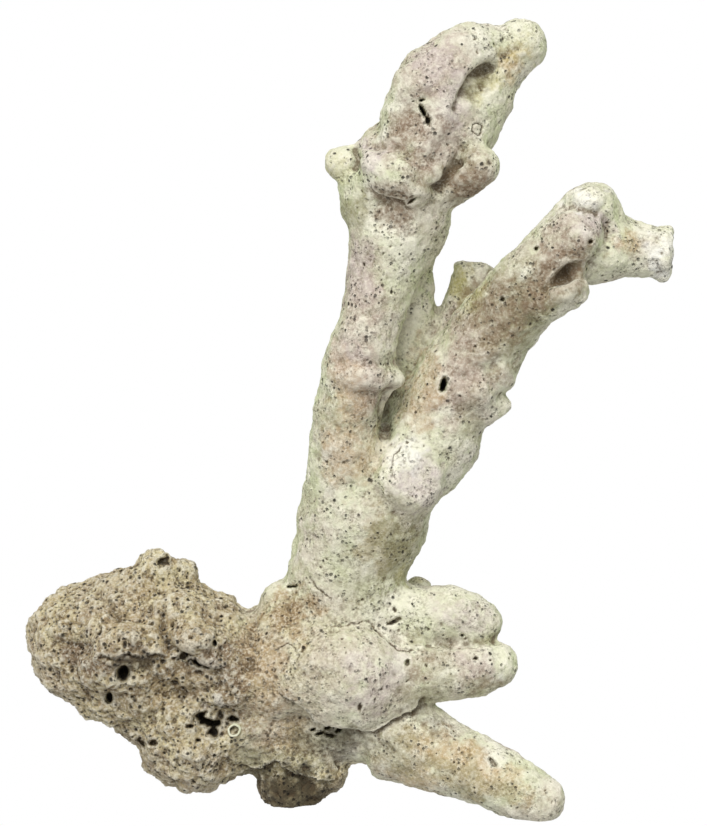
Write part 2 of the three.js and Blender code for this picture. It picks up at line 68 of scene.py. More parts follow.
# name, swelling, depth against width, how it ends, and its line of x, y, z, radius from root to tip
LIMBS = [
    ("rock bar", ROCK_LUMPS, 1.25, "round", [
        (-18, 5, 49, 20), (-32, 5, 54, 20.5), (-46, 6, 60, 23), (-62, 7, 62, 25), (-78, 8, 61, 24),
        (-88, 8, 61.5, 19.5)]),
    ("rock belly", ROCK_LUMPS, 1.2, "round", [
        (-14, 6, 33, 17), (-30, 6, 31, 19), (-43, 7, 30.5, 23.5), (-54, 8, 37, 21), (-62.5, 8, 40, 19)]),
    ("rock rear", ROCK_LUMPS, 1.1, "round", [(-52, 12, 40, 22), (-47, 21, 28, 18), (-44, 27, 23, 13)]),
    ("rock chin", ROCK_LUMPS, 1.15, "round", [
        (-53, 5, 27.5, 16), (-42, 4, 21, 17), (-34, 4, 21, 15.5), (-25, 4, 22.5, 13)]),
    ("rock cheek", ROCK_LUMPS, 1.15, "round", [
        (-54, 6, 44, 20), (-70, 6, 46, 19.5), (-80, 6, 51.5, 17.5), (-88, 6, 53, 16)]),
    ("rock left horn", ROCK_LUMPS, 1.2, "round", [(-66, 6, 76, 15), (-61, 4, 83, 11.5), (-57, 4, 90, 7.8)]),
    ("rock right horn", ROCK_LUMPS, 1.2, "round", [(-50, 6, 74, 13), (-48, 6, 84, 9), (-46, 5, 86.5, 6.5)]),
    ("rock shoulder", ROCK_LUMPS, 1.2, "round", [(-42, 4, 58, 15), (-35, 3, 66, 11), (-32, 3, 70.5, 8)]),
    ("rock brow", ROCK_LUMPS, 1.0, "round", [(-74, -10, 65, 8), (-63, -13, 65, 8), (-54, -11, 66, 7)]),
    ("rock knuckle", ROCK_LUMPS, 1.0, "round", [(-49, -14, 66, 9), (-40, -16, 64, 10), (-33, -14, 60, 8)]),
    ("body", ROCK_LUMPS, 1.15, "round", [
        (-26, 4, 50, 19), (-8, 3, 54, 23), (12, 2, 54, 24), (30, 0, 54, 19), (44, 0, 56, 13)]),
    ("body hump", ROCK_LUMPS, 1.1, "round", [(-4, 3, 58, 20), (-6, 3, 70, 14), (-8.5, 3, 77, 9.4)]),
    ("body sole", ROCK_LUMPS, 1.2, "round", [
        (-30, 6, 31, 16), (-18, 6, 29, 17), (-2, 6, 31, 17), (14, 3, 31.5, 15.6), (26, 0, 30, 15),
        (34, -3, 28, 14)]),
    ("crust plate", BRANCH_LUMPS, 0.62, "round", [
        (-2, -12, 54, 14), (10, -15, 52, 19), (24, -16, 51, 18), (36, -14, 50, 12)]),
    ("rear heel", ROCK_LUMPS, 1.0, "round", [
        (6, 10, 48, 22), (4, 21, 31, 18), (2, 30, 13, 12.6), (2, 33, 1, 10.5)]),
    ("rear bud", BRANCH_LUMPS, 1.0, "round", [(38, 8, 66, 9), (42, 12, 76, 7), (43, 14, 80, 5.5)]),
    ("foot", ROCK_LUMPS, 1.1, "round", [(-4, 4, 30, 17), (-5, 3.5, 14, 15), (-6.5, 1.5, 2, 11.8)]),
    ("foot ledge", ROCK_LUMPS, 1.0, "round", [(-6, -4, 20, 10), (4, -4, 15, 9.5), (8.5, -4, 12, 8.3)]),
    ("foot side", ROCK_LUMPS, 1.2, "round", [(-10, 4, 22, 12), (-17, 2, 15.5, 8.5)]),
    ("upper finger", BRANCH_LUMPS, 1.0, "round", [
        (28, 2, 70, 14), (44, -1, 72, 11.5), (56, -3, 72.5, 11), (64, -4, 71.3, 9.4), (68, -4, 70.5, 7.3)]),
    ("lower finger", BRANCH_LUMPS, 1.0, "round", [
        (28, -6, 54, 15), (44, -9, 53, 12.2), (58, -10, 53.3, 11.1), (69, -10, 55, 10.3), (73, -10, 55, 8)]),
    ("long finger", BRANCH_LUMPS, 0.95, "round", [
        (30, -3, 27, 17), (42, -8, 24.5, 16.3), (54, -13, 19.2, 13.5), (67, -18, 15.6, 12.8),
        (80, -23, 10.3, 11.4), (90, -26, 6.5, 8.6)]),
    ("trunk", BRANCH_LUMPS, 0.85, "round", [
        (13, 4, 58, 24), (14.5, 3, 80, 22), (17.5, 2, 97, 22.6), (22.5, 1, 110, 25), (25, 2, 119, 24.5)]),
    ("trunk stub", BRANCH_LUMPS, 1.0, "broken", [
        (34, -1, 121, 17), (38, -10, 126, 14), (40.5, -17, 129.5, 12.5)]),
    ("rear stump", BRANCH_LUMPS, 1.0, "broken", [(17, 8, 104, 14), (14, 22, 112, 11), (12, 32, 118, 10)]),
    ("left branch", BRANCH_LUMPS, 1.0, "round", [
        (14, 0, 108, 18), (14.5, -4, 130, 14.3), (16, -7, 148, 12.4), (19, -9, 163, 13.5),
        (21.8, -9, 178, 12.3), (26.3, -8, 191, 12.4), (29.5, -6, 203, 13.2), (32, -4, 216, 16)]),
    ("left branch knob", BRANCH_LUMPS, 1.0, "round", [(27, -11, 163, 7.5), (33, -12, 165, 4.2)]),
    ("middle branch", BRANCH_LUMPS, 1.0, "round", [
        (42, 6, 126, 15), (38, 12, 145, 12.5), (38, 15, 162, 11.2), (39.3, 15, 181, 10.6),
        (38.6, 12, 195, 9.4), (38.5, 8, 208, 10.5), (40, 4, 222, 14)]),
    ("right limb", BRANCH_LUMPS, 0.95, "round", [
        (22, 2, 104, 17), (31.8, 2, 122, 17.2), (46.2, 3, 138.5, 18.8), (52, 2, 152, 16.5),
        (60.5, 1, 165, 16.2), (69, -1, 178, 15.3), (78.5, -4, 191, 15), (86.8, -6.5, 202.5, 14.1),
        (97, -8, 213.5, 12)]),
    ("right limb bud", BRANCH_LUMPS, 1.0, "round", [
        (62, -2, 152, 10), (70, -4, 153, 6.5), (75, -5, 153.5, 3.6)]),
    ("right limb boss", BRANCH_LUMPS, 1.0, "round", [(60, -6, 160, 10), (65, -12, 161, 6.5)]),
    ("back stub", BRANCH_LUMPS, 1.0, "broken", [
        (55, 8, 166, 13), (59, 15, 182, 9.6), (62, 18, 193, 8.9), (64, 20, 202.6, 8.6)]),
    ("right branch end", BRANCH_LUMPS, 1.0, "broken", [
        (88, -7, 204, 11), (97, -8, 213.5, 12.3), (105, -9, 221, 11.3)]),
    ("right branch crest", BRANCH_LUMPS, 1.0, "round", [
        (92, -5, 206, 11), (100, -3, 217, 12.3), (106.5, -1, 226.6, 10.8), (111, 1, 224, 9)]),
    ("right branch bud", BRANCH_LUMPS, 1.0, "round", [
        (86, -12, 193, 10), (95, -15, 196.5, 8), (101, -16, 198.5, 6)]),
    ("right tip", BRANCH_LUMPS, 1.0, "broken", [
        (96, -2, 213, 13.5), (107, 1, 212.5, 14), (116, 3, 212, 12.6), (125, 4, 211, 10.4),
        (136, 4, 209.8, 10.9)]),
    ("crown neck", BRANCH_LUMPS, 0.9, "round", [
        (32, -3, 204, 13.6), (33, -1, 213, 16.5), (34.8, -1, 222, 19.8), (34, -1, 234, 21.4),
        (38.2, -1, 246, 17.3)]),
    ("crown front lobe", BRANCH_LUMPS, 0.9, "round", [
        (39, -4, 236, 17), (42.6, -6, 250, 16.4), (46.4, -6, 264, 16.5), (49.6, -5, 274, 15.6),
        (55.6, -3, 281.2, 12.4)]),
    ("crown front ridge", BRANCH_LUMPS, 1.0, "round", [
        (54, -3, 276, 13), (60, 0, 285, 11.5), (69, 3, 287, 8.8)]),
    ("crown back lobe", BRANCH_LUMPS, 1.0, "round", [
        (45, 1, 238, 14), (53, 2, 250, 15), (62.5, 3, 266, 13.2), (71.8, 5, 279.5, 11.2),
        (81.2, 6.5, 288.5, 10.3)]),
    ("crown web", BRANCH_LUMPS, 1.0, "round", [(47, -2, 240, 14), (55, -2, 256, 14), (61, 0, 267, 12)]),
    ("crown brow", BRANCH_LUMPS, 1.0, "round", [
        (26, -8, 240, 10), (34, -13, 241, 10.5), (43, -12, 243, 10)]),
    ("crown left nub", BRANCH_LUMPS, 1.0, "round", [
        (25, -1, 240, 10), (17, -2, 243.5, 7.6), (12, -2, 245.6, 5.7)]),
    ("crown rear nub", BRANCH_LUMPS, 1.0, "broken", [(30, 4, 240, 9), (25, 6, 244, 6.5), (23, 7, 246, 5.5)]),
    ("crown right nub", BRANCH_LUMPS, 1.0, "round", [
        (50, -6, 237, 11), (59, -11, 241.5, 8.6), (66, -14, 245, 7.5)]),
]

# Forks, from the tips inwards: piece, base of its box, box size, lean towards +X and turn towards -Y
FORKS = [
    ("crown_right_nub", (58, -13.5, 239.5), (20, 20, 30), 64, 10),
    ("crown_left_nub", (19, -2, 243.5), (20, 16, 30), -72, 0),
    ("right_tip", (114.5, 2, 212.5), (60, 60, 40), 92, 0),
    ("back_stub", (60, 16, 183), (21, 25, 50), 16, -14),
    ("right_branch", (72.7, 0, 176.9), (56, 60, 90), 34, 0),
    ("crown", (34, 0, 214), (90, 90, 110), 14, 0),
    ("left_branch", (14.5, -13, 140), (31, 43, 90), 13, 0),
    ("middle_branch", (42, 8, 175), (62, 60, 60), -44, 0),
    ("right_limb", (59, 4, 142), (66, 90, 70), 0, 0),
    ("trunk", (26, 4, 86.6), (90, 90, 80), 3, 0),
    ("upper_finger", (40, 0, 77), (29, 60, 60), 90, 0),
    ("lower_finger", (41, -8, 51), (23, 60, 60), 90, 0),
    ("long_finger", (42, -8, 24), (60, 60, 80), 118, 14),
    ("foot", (-3, 14, 15.5), (38, 80, 40), 180, 0),
    ("base_rock", (-22.5, 4, 46), (130, 120, 100), -90, 0),
]
LAST_PIECE = "base_body"

# The photograph's view: what the camera aims at, from how far and how high
SIGHT_TARGET = (18.2, 0.0, 149.7)
SIGHT_DISTANCE = 2000.0
SIGHT_ELEVATION = 10.0
FRAME_HEIGHT = 309.75  # what the picture's height spans at the target
SENSOR_HEIGHT = 24
VIEW_END = 50  # in metres
FLOOR_HALF = 6.0  # half the floor's side, in metres

# Holes and pits in the front, read in the sight plane: x, z, half width, half height, lean in degrees, depth
FRONT_PITS = [
    (-68.4, 49.3, 2.5, 2.7, 0, 9), (-73.8, 40.0, 1.4, 1.7, 0, 7), (-54.0, 92.8, 1.7, 1.3, 0, 4.5),
    (-34.0, 62.0, 1.3, 1.3, 0, 5), (-57.0, 24.0, 1.2, 1.2, 0, 4), (-61.2, 23.8, 0.9, 1.9, 30, 4),
    (-36.5, 32.0, 4.4, 1.9, -35, 9), (-33.5, 31.0, 2.6, 1.6, 10, 8), (-34.0, 28.0, 1.5, 2.2, 15, 7),
    (-39.5, 34.6, 1.7, 0.9, 10, 5), (-31.5, 34.0, 1.0, 1.3, 0, 4), (-26.5, 32.6, 2.2, 1.0, 0, 5),
    (-41.0, 54.0, 3.0, 1.1, -12, 6), (-36.8, 52.6, 1.5, 0.8, 20, 4), (-46.0, 56.5, 1.8, 1.2, 20, 4),
    (-43.5, 30.2, 1.6, 0.9, 0, 4), (-39.5, 24.5, 1.0, 0.7, 30, 3), (-72.0, 88.0, 3.0, 0.7, 20, 3),
    (-5.0, 83.5, 2.2, 0.6, 8, 4), (5.5, 27.2, 1.6, 0.7, 10, 4.5), (9.2, 26.4, 1.8, 0.8, -12, 4.5),
    (12.4, 28.0, 1.4, 0.7, 20, 4.5), (8.2, 28.8, 0.9, 0.5, 0, 4), (3.0, 28.8, 0.8, 0.5, 0, 4),
    (33.0, 70.0, 2.0, 1.0, 20, 3), (38.5, 54.5, 0.9, 1.4, 0, 3), (59.0, 65.0, 0.7, 0.6, 0, 3),
    (64.0, 56.0, 0.7, 0.6, 0, 3), (20.5, 38.5, 0.5, 1.4, 0, 3), (70.0, 17.0, 1.1, 2.0, 40, 2.5),
    (52.0, 160.5, 0.9, 2.4, -14, 9), (74.0, 193.0, 0.8, 0.8, 0, 3), (86.5, 212.5, 0.7, 0.7, 0, 3),
    (107.0, 215.0, 0.8, 0.8, 0, 3), (44.0, 264.6, 0.9, 3.2, 32, 6), (46.0, 261.4, 1.1, 1.7, 10, 5.5),
    (43.2, 269.0, 1.3, 0.5, 10, 4), (39.5, 231.0, 0.6, 1.8, -35, 3),
]

# Pits all over the coral: spacing, share of cells with a pit, smallest and largest radius, depth, darkness of
# the painted shade in them and what they are in
SCATTERED_PITS = [
    (7.5, 0.5, 0.9, 2.3, 2.3, 0.8, "rock"),
    (3.6, 0.6, 0.6, 1.5, 1.7, 0.95, "rock"),
    (2.2, 0.5, 0.5, 1.0, 1.0, 0.9, "rock"),
    (6.0, 0.3, 0.6, 1.2, 1.1, 0.8, "branch"),
    (3.4, 0.4, 0.5, 0.9, 0.9, 0.9, "branch"),
]

# Swellings and soft dips in the front: x, z, half width, half height, lean and how far each stands out
FRONT_BOSSES = [
    (-41, 64, 9, 5.5, 10, 3.6), (-47, 75, 8, 6, 0, 2.0), (-66, 66, 9, 5, 5, 2.2), (-84, 70, 8, 6, 0, 1.6),
    (-60, 40, 8, 6, 0, 1.5), (-42, 16, 9, 7, 0, 2.0), (-34, 40, 7, 3.5, 0, 2.2), (-26, 48, 5, 8, 0, 1.6),
    (-14, 34, 8, 8, 0, 1.8), (-12, 70, 6, 6, 0, 1.6), (18, 50, 20, 13, -10, 1.6),
    (24, 163, 13, 4.5, -8, 1.8), (14, 136, 9, 4, 0, 1.0), (20, 182, 8, 5, 0, 0.9), (74, 163, 4, 5, 0, 2.4),
    (66, 172, 5, 4, 0, 1.2), (34, 241, 10, 6.5, -25, 3.0), (44, 250, 4, 3.5, 0, 1.6),
    (48, 241, 4, 4, 0, 1.6), (-88, 60, 8, 6, 0, -3.0), (98, 202, 6, 3, 40, -4.5),
    (66, 276, 8, 4.5, 50, -3.0), (42, 264, 7, 9, -20, -2.6), (30, 226, 12, 6, -30, -2.0),
    (-64, 52, 12, 4, 0, -2.4), (-35, 31, 8, 7, 0, -2.4), (42, 233, 5, 4, 30, 2.2), (50, 262, 6, 9, -15, 1.8),
    (38, 275, 6, 6, 0, 1.4), (106, 231, 6, 4, 10, 1.6), (105, 219, 8, 5, 45, 1.2),
    (97, 196, 7, 4.5, 25, 2.2), (40, 128, 11, 10, 0, 1.2), (24, 246, 3.5, 4.5, 0, 1.8),
]

# Soft furrows in the front: half width, depth and a line of x, z
FURROWS = [
    (2.2, 2.4, [(94, 230), (100, 229), (107, 227), (112, 224), (114.5, 219), (113, 212), (108, 206)]),
    (1.8, 1.5, [(46, 62), (54, 62.6), (62, 62), (72, 63.4)]),
    (2.2, 1.6, [(-18.5, 70), (-20, 65), (-19, 59), (-21, 53)]),
    (3.0, 1.0, [(-21, 53), (-24, 46), (-21, 38), (-25, 30)]),
    (2.2, 3.0, [(57, 266), (60, 271), (64, 277), (70, 281)]),
    (2.4, 1.4, [(70, 281), (75, 286), (79, 288)]),
    (2.2, 3.4, [(50, 235), (54, 240), (57, 245)]),
    (2.2, 1.2, [(57, 245), (59, 251)]),
    (2.4, 0.8, [(26, 249), (33, 251.5), (40, 250), (46, 246)]),
    (1.6, 2.0, [(90, 197), (95, 201), (99, 203)]),
    (1.4, 2.4, [(18, 243), (19.5, 247), (18.5, 251)]),
    (2.4, 2.0, [(31, 141), (29, 150), (31, 158)]),
    (2.6, 0.9, [(10, 169), (18, 169.5), (27, 168.5), (34, 169)]),
    (2.6, 1.0, [(8, 156), (17, 157), (26, 156.5), (33, 158)]),
    (2.0, 2.6, [(-53, 74), (-54, 67), (-51, 61), (-45, 57)]),
    (2.0, 2.0, [(-31, 58), (-33, 66), (-37, 72)]),
    (2.0, 1.8, [(-80, 84), (-74, 78), (-70, 72)]),
]

CRACK_HALF_WIDTH = 0.36
CRACK_DEPTH = 1.0

# Cracks in the crust, as lines of x, z in the sight plane
CRACKS = [
    [(10, 68.5), (15, 69), (20, 70), (23, 70.5), (25, 69), (28, 66), (32, 63), (35, 60), (38, 59), (42, 60),
     (44.5, 59)],
    [(2, 86), (5, 83), (8, 80), (10, 79)],
    [(-11, 60.5), (-6, 62), (-4, 60), (-2, 57), (-3, 55)],
    [(42, 61), (46, 61.4), (50, 61)],
    [(36, 136.5), (33.7, 133.7), (31.9, 128), (34.4, 123)],
    [(67.1, 257.7), (66.7, 259), (65.6, 259.7), (64.4, 259.7), (63.3, 259), (62.9, 257.7), (63.3, 256.4),
     (64.4, 255.7), (65.6, 255.7), (66.7, 256.4), (67.1, 257.7)],
]

# Lips of crust over what is below them, with painted shadow under each: reach, softness and a line of x, z
# from left to right
LIPS = [
    (2.6, 4.0, [(-11, 44), (-5, 41), (0, 38), (2.5, 35.5), (3.5, 32.2), (8, 31), (20, 30), (26, 28.5),
                (30, 31), (35, 34), (40, 36), (43, 40), (47, 41)]),
    (3.0, 4.0, [(-24, 15), (-18, 15.5), (-10, 18), (-7, 14), (0, 11), (5, 10.2), (13, 9.5)]),
    (2.4, 6.0, [(-80, 54.0), (-76, 57.5), (-71, 55.5), (-66, 58.2), (-61, 56.0), (-56, 58.6), (-50, 57)]),
    (1.6, 4.0, [(-52, 57), (-47, 54.5), (-41, 55.5), (-35, 52.5), (-28, 54)]),
    (1.5, 5.0, [(22, 237), (28, 233.5), (36, 230.5), (42, 226)]),
]

# Stains, crusts and painted shade seen from the front, each laid over those before it: ovals of x, z, half
# width, half height, lean and strength. The film has none, as it lies on the flanks.
STAIN_OVALS = {
    "film": [],
    "mauve": [
        (20, 200, 12, 20, 8, 0.9), (20, 165, 13, 22, 5, 0.95), (16, 135, 10, 14, 0, 0.6),
        (48, 281, 17, 15, 20, 0.95), (50, 255, 14, 18, -20, 0.8), (56, 158, 14, 16, 30, 0.95),
        (66, 176, 14, 12, 40, 0.9), (98, 217, 12, 9, 40, 0.8), (125, 212, 10, 9, 0, 0.5),
        (14, 54, 20, 14, 0, 0.6), (30, 44, 14, 10, 0, 0.7), (-16, 58, 10, 16, 0, 0.6),
        (-14, 26, 12, 9, 0, 0.5), (60, 52, 14, 8, 0, 0.7), (58, 74, 14, 8, 0, 0.35),
        (26, 112, 10, 12, 0, 0.5), (60, 22, 16, 8, -25, 0.4), (57, 182, 8, 12, 0, 0.9),
        (29, 250, 10, 6, 0, 0.8), (46, 290, 16, 8, 20, 0.8), (56, 167, 14, 10, 0, 0.9),
    ],
    "lilac": [
        (42, 124, 11, 9, 0, 0.9), (109, 220, 7, 7, 40, 0.95), (54, 268, 7, 13, -20, 0.7),
        (48, 284, 10, 7, 20, 0.6), (23, 248, 4, 5, 0, 0.9), (20, 204, 8, 12, 0, 0.5),
        (18, 170, 8, 10, 0, 0.5), (30, 48, 16, 9, 0, 0.55), (-15, 40, 8, 18, 0, 0.5),
        (62, 73, 12, 7, 0, 0.5), (64, 53, 10, 5, 0, 0.5),
    ],
    "tan": [
        (28, 100, 8, 12, 0, 0.5), (76, 10, 14, 5, -25, 0.5), (-58, 66, 22, 12, 0, 0.5),
        (-50, 46, 12, 8, 0, 0.6), (-18, 50, 11, 22, 0, 0.8), (-4, 74, 10, 10, 0, 0.9),
        (-10, 26, 16, 10, 0, 0.6), (60, 16, 30, 9, -25, 0.75), (79, 283, 6, 10, -30, 0.8),
        (16, 150, 10, 26, 5, 0.5), (22, 135, 12, 10, 0, 0.5), (45, 158, 8, 20, 0, 0.5),
        (121, 216, 6, 7, 0, 0.6), (40, 12, 14, 8, -25, 0.6),
    ],
    "yellow": [
        (59, 197, 6, 10, 12, 1.0), (67, 276, 8, 6, 30, 0.7), (82, 290, 7, 7, 0, 0.4), (42, 86, 5, 4, 0, 0.8),
        (-52, 54, 9, 5, 0, 0.5), (8, 243, 7, 7, 0, 0.5),
    ],
    # Painted shade over some grey-green turf: on the right sides of the trunk and limbs, by the crown's nubs
    # and under the foot and the fingers.
    "moss": [
        (34, 100, 11, 15, 15, 0.95), (83, 189, 24, 10, 45, 0.95), (66, 190, 12, 9, 45, 0.7),
        (62, 248, 5, 6, 0, 0.7), (80, 176, 14, 6, 50, 0.6), (63, 144, 5, 14, 0, 0.5), (40, 63, 5, 5, 0, 0.7),
        (68, 64, 12, 3, 0, 0.8), (98, 200, 13, 9, 40, 0.8), (58, 238, 12, 9, 20, 0.6),
        (17, 227, 7, 10, 0, 0.75), (45, 43, 9, 5, 0, 0.6), (48, 53, 8, 8, 0, 0.4), (-18, 15, 11, 8, 0, 0.7),
        (-4, 15, 16, 8, 0, 0.6), (10, 27, 16, 6, 0, 0.5), (34, 22, 12, 12, -25, 0.55),
        (62, 9, 26, 6, -25, 0.5), (70, 47, 12, 4, 0, 0.6), (24, 86, 10, 14, 10, 0.45),
        (6, 140, 4, 26, -8, 0.35),
    ],
    # Real brown stains, with painted shadow under the rock's ledge and the crown's brow, beside the right nub
    # and along the right limb's lower side.
    "brown": [
        (-87, 58, 9, 8, 0, 1.0), (-30, 53, 11, 12, 0, 0.75), (-27, 35, 9, 9, 0, 0.6),
        (-80, 52, 11, 8, 0, 0.8), (-66, 55, 14, 5, 0, 0.8), (-50, 54, 15, 7, 0, 0.7),
        (-69, 41, 9, 7, 0, 0.6), (-30, 42, 9, 8, 0, 0.8), (-38, 55, 9, 6, 0, 0.5), (-4, 75, 9, 10, 0, 0.5),
        (38, 258, 9, 12, -10, 0.8), (31, 231, 11, 8, -35, 0.85), (40, 250, 10, 9, 0, 0.5),
        (61, 240, 12, 9, 30, 1.0), (95, 203, 17, 10, 45, 0.95), (76, 186, 16, 7, 45, 0.75),
        (68, 243, 8, 6, 20, 0.7), (66, 172, 12, 9, 45, 0.45), (75, 163, 5, 6, 0, 0.6),
        (66, 50, 12, 6, 0, 0.35), (69, 195, 14, 6, 45, 0.8), (82, 209, 9, 5, 45, 0.5),
        (45, 242, 9, 8, 0, 0.5), (45, 262, 7, 7, 0, 0.7), (66, 187, 10, 7, 45, 0.75),
        (58, 176, 7, 7, 45, 0.5), (43, 52, 5, 5, 0, 0.6),
    ],
    "white": [
        (36, 133, 11, 7, 20, 0.8), (106, 230, 8, 6, 0, 1.0), (134, 210, 5, 12, 0, 1.0),
        (75, 52, 2.5, 2, 0, 0.6), (-35, 39, 6, 3, 0, 0.5),
    ],
    # Painted shade over some dark algae: under the foot, body and fingers, under the rock's ledge, in the gap
    # beside the left branch, beside the crown's right nub and in the crown's valley.
    "olive": [
        (-4, 3, 22, 13, 0, 1.0), (12, 24, 18, 6, 0, 0.75), (-65, 53, 10, 3.5, 0, 0.7),
        (30, 149, 4, 11, 8, 0.6), (48, 33, 12, 5, -25, 0.5), (57, 243, 3, 6, -38, 0.6),
        (64, 275, 6, 4, 45, 0.5),
    ],
}

# Colours in sRGB, and what shows them
COLOURS = {
    "cream": ("#e4e1cd", "Clean skeleton"),
    "greenish": ("#d2d4b2", "Skeleton with a film of algae"),
    "rock_cream": ("#e4d7ab", "Clean base rock"),
    "rock_tan": ("#b8a37a", "Worn base rock"),
    "mauve": ("#b09e90", "Dead coralline crust"),
    "yellow": ("#bdb57c", "Yellow-green stain"),
    # Real brown stains, and painted shadow under ledges and on shaded sides
    "brown": ("#86705a", "Brown stain"),
    "lilac": ("#cdc1bb", "Fresher coralline crust"),
    "film": ("#c8d0a4", "Thin green algae"),
    "tan": ("#b79b6c", "Warm stain"),
    # Painted shade over some grey-green turf, on shaded sides and undersides
    "moss": ("#8e8964", "Grey-green turf"),
    "white": ("#f3f1e8", "Fresh break"),
    # Painted shade over some dark algae, on undersides and in gaps
    "olive": ("#40392a", "Dark algae in the shade"),
    # Painted shade in crevices, and the colour of the dark grains
    "dirt": ("#655640", "Dirt in crevices"),
    "chalk": ("#f6f1de", "Worn ridges"),
    # Painted shade deep in holes and cracks, under lips and inside the worm tube
    "shadow": ("#241e17", "Dirt deep in holes"),
}

CAP_DIVE = 1.5  # how far below the skin a fork's cap lies
CORAL_WIDTH = 250.0  # wider than any cap
TUBE_SIGHT = (-26.5, 29.0)  # where the worm tube opens, in the sight plane
TUBE_OUTER = 2.5
TUBE_INNER = 1.7
TUBE_LENGTH = 7.0
TUBE_STANDS = 2.0  # how far it stands out of the rock
TUBE_GROUND = 6.0  # how far back from its foremost point the skin under the tube counts
TUBE_BEND = (0.03, 0.0, 0.02)  # how fast the tube curves away from its mouth
TUBE_STEPS = 8
TUBE_SIDES = 40
KEY_FROM = (-0.3, -1.35, 1.4)  # where the key light comes from


def linear_colour(hex_colour):
    """Turns an sRGB hex colour into linear values: a straight foot, then a power of 2.4."""
    channels = np.array([int(hex_colour[i:i + 2], 16) for i in (1, 3, 5)]) / 255
    values = np.where(channels <= 0.04045, channels / 12.92, ((channels + 0.055) / 1.055) ** 2.4)
    return tuple(float(value) for value in values)


def add_node(tree, kind, inputs=None, **settings):
    """Adds a node, sets its settings, and gives each input a value or a link from another node's output."""
    node = tree.nodes.new(kind)
    for name, value in settings.items():
        setattr(node, name, value)
    for key, value in (inputs or {}).items():
        socket = node.inputs[key]
        if isinstance(value, bpy.types.NodeSocket):
            tree.links.new(value, socket)
        else:
            socket.default_value = value
    return node


def smooth_step(values):
    """Three times the square less twice the cube of each value, held between 0 and 1: a soft ramp."""
    held = np.clip(values, 0, 1)
    return held * held * (3 - 2 * held)


def tube_surface(mouth):
    """A pipe carried along a bent line. Angle a and step s give the point line(s) + radius x (right x cos a +
    up x sin a), with the outer radius on the way out to the mouth and the inner one on the way back, and the
    line bending to one side as the square of its length. Both ways round the surface runs into itself."""
    outwards = np.linspace(TUBE_LENGTH, 0, TUBE_STEPS)
    inwards = np.concatenate([outwards, outwards[::-1]])
    radii = np.repeat([TUBE_OUTER, TUBE_INNER], TUBE_STEPS)
    bend = np.array(TUBE_BEND) * inwards[:, None] ** 2
    centres = mouth + sight_direction() * inwards[:, None] + bend
    angle = np.linspace(0, 2 * np.pi, TUBE_SIDES, endpoint=False)
    right = np.array([1.0, 0.0, 0.0])
    up = np.cross(right, sight_direction())
    uneven = 1 + 0.06 * np.sin(2 * angle) + 0.03 * np.sin(5 * angle)
    arms = (right * np.cos(angle)[:, None] + up * np.sin(angle)[:, None]) * uneven[:, None]
    grid = centres[:, None] + radii[:, None, None] * arms[None]
    rows = len(centres)
    row = np.arange(rows)[:, None]
    column = np.arange(TUBE_SIDES)[None]
    corner = row * TUBE_SIDES + column
    beside = row * TUBE_SIDES + (column + 1) % TUBE_SIDES
    ahead = (row + 1) % rows * TUBE_SIDES
    quads = np.stack([corner, beside, ahead + (column + 1) % TUBE_SIDES, ahead + column], axis=-1)
    return grid.reshape(-1, 3), quads.reshape(-1, 4)


def smooth_line(points, count):
    """Points of a smooth curve through the given ones: on each span a cubic whose slope at a point is half
    the step between that point's neighbours, with the end spans run on in a straight line."""
    known = np.asarray(points, float)
    known = np.vstack([2 * known[0] - known[1], known, 2 * known[-1] - known[-2]])
    along = np.linspace(0, len(points) - 1, count)
    span = np.minimum(along.astype(int), len(points) - 2)
    part = (along - span)[:, None]
    before, start, end, after = (known[span + i] for i in range(4))
    slope_start = (end - before) / 2
    slope_end = (after - start) / 2
    square = -3 * start + 3 * end - 2 * slope_start - slope_end
    cube = 2 * start - 2 * end + slope_start + slope_end
    return start + slope_start * part + square * part ** 2 + cube * part ** 3


def swelling(points):
    """Three crossed waves, 40 to 80 mm long: the mean of three sines of the place."""
    x, y, z = np.moveaxis(points, -1, 0)
    across = np.sin(x / 7.3 + 1.3 * np.sin(z / 11))
    along = np.sin(y / 6.1 + z / 9.7)
    slanted = np.sin(z / 8.2 - x / 12.5 + 1.7)
    return (across + along + slanted) / 3


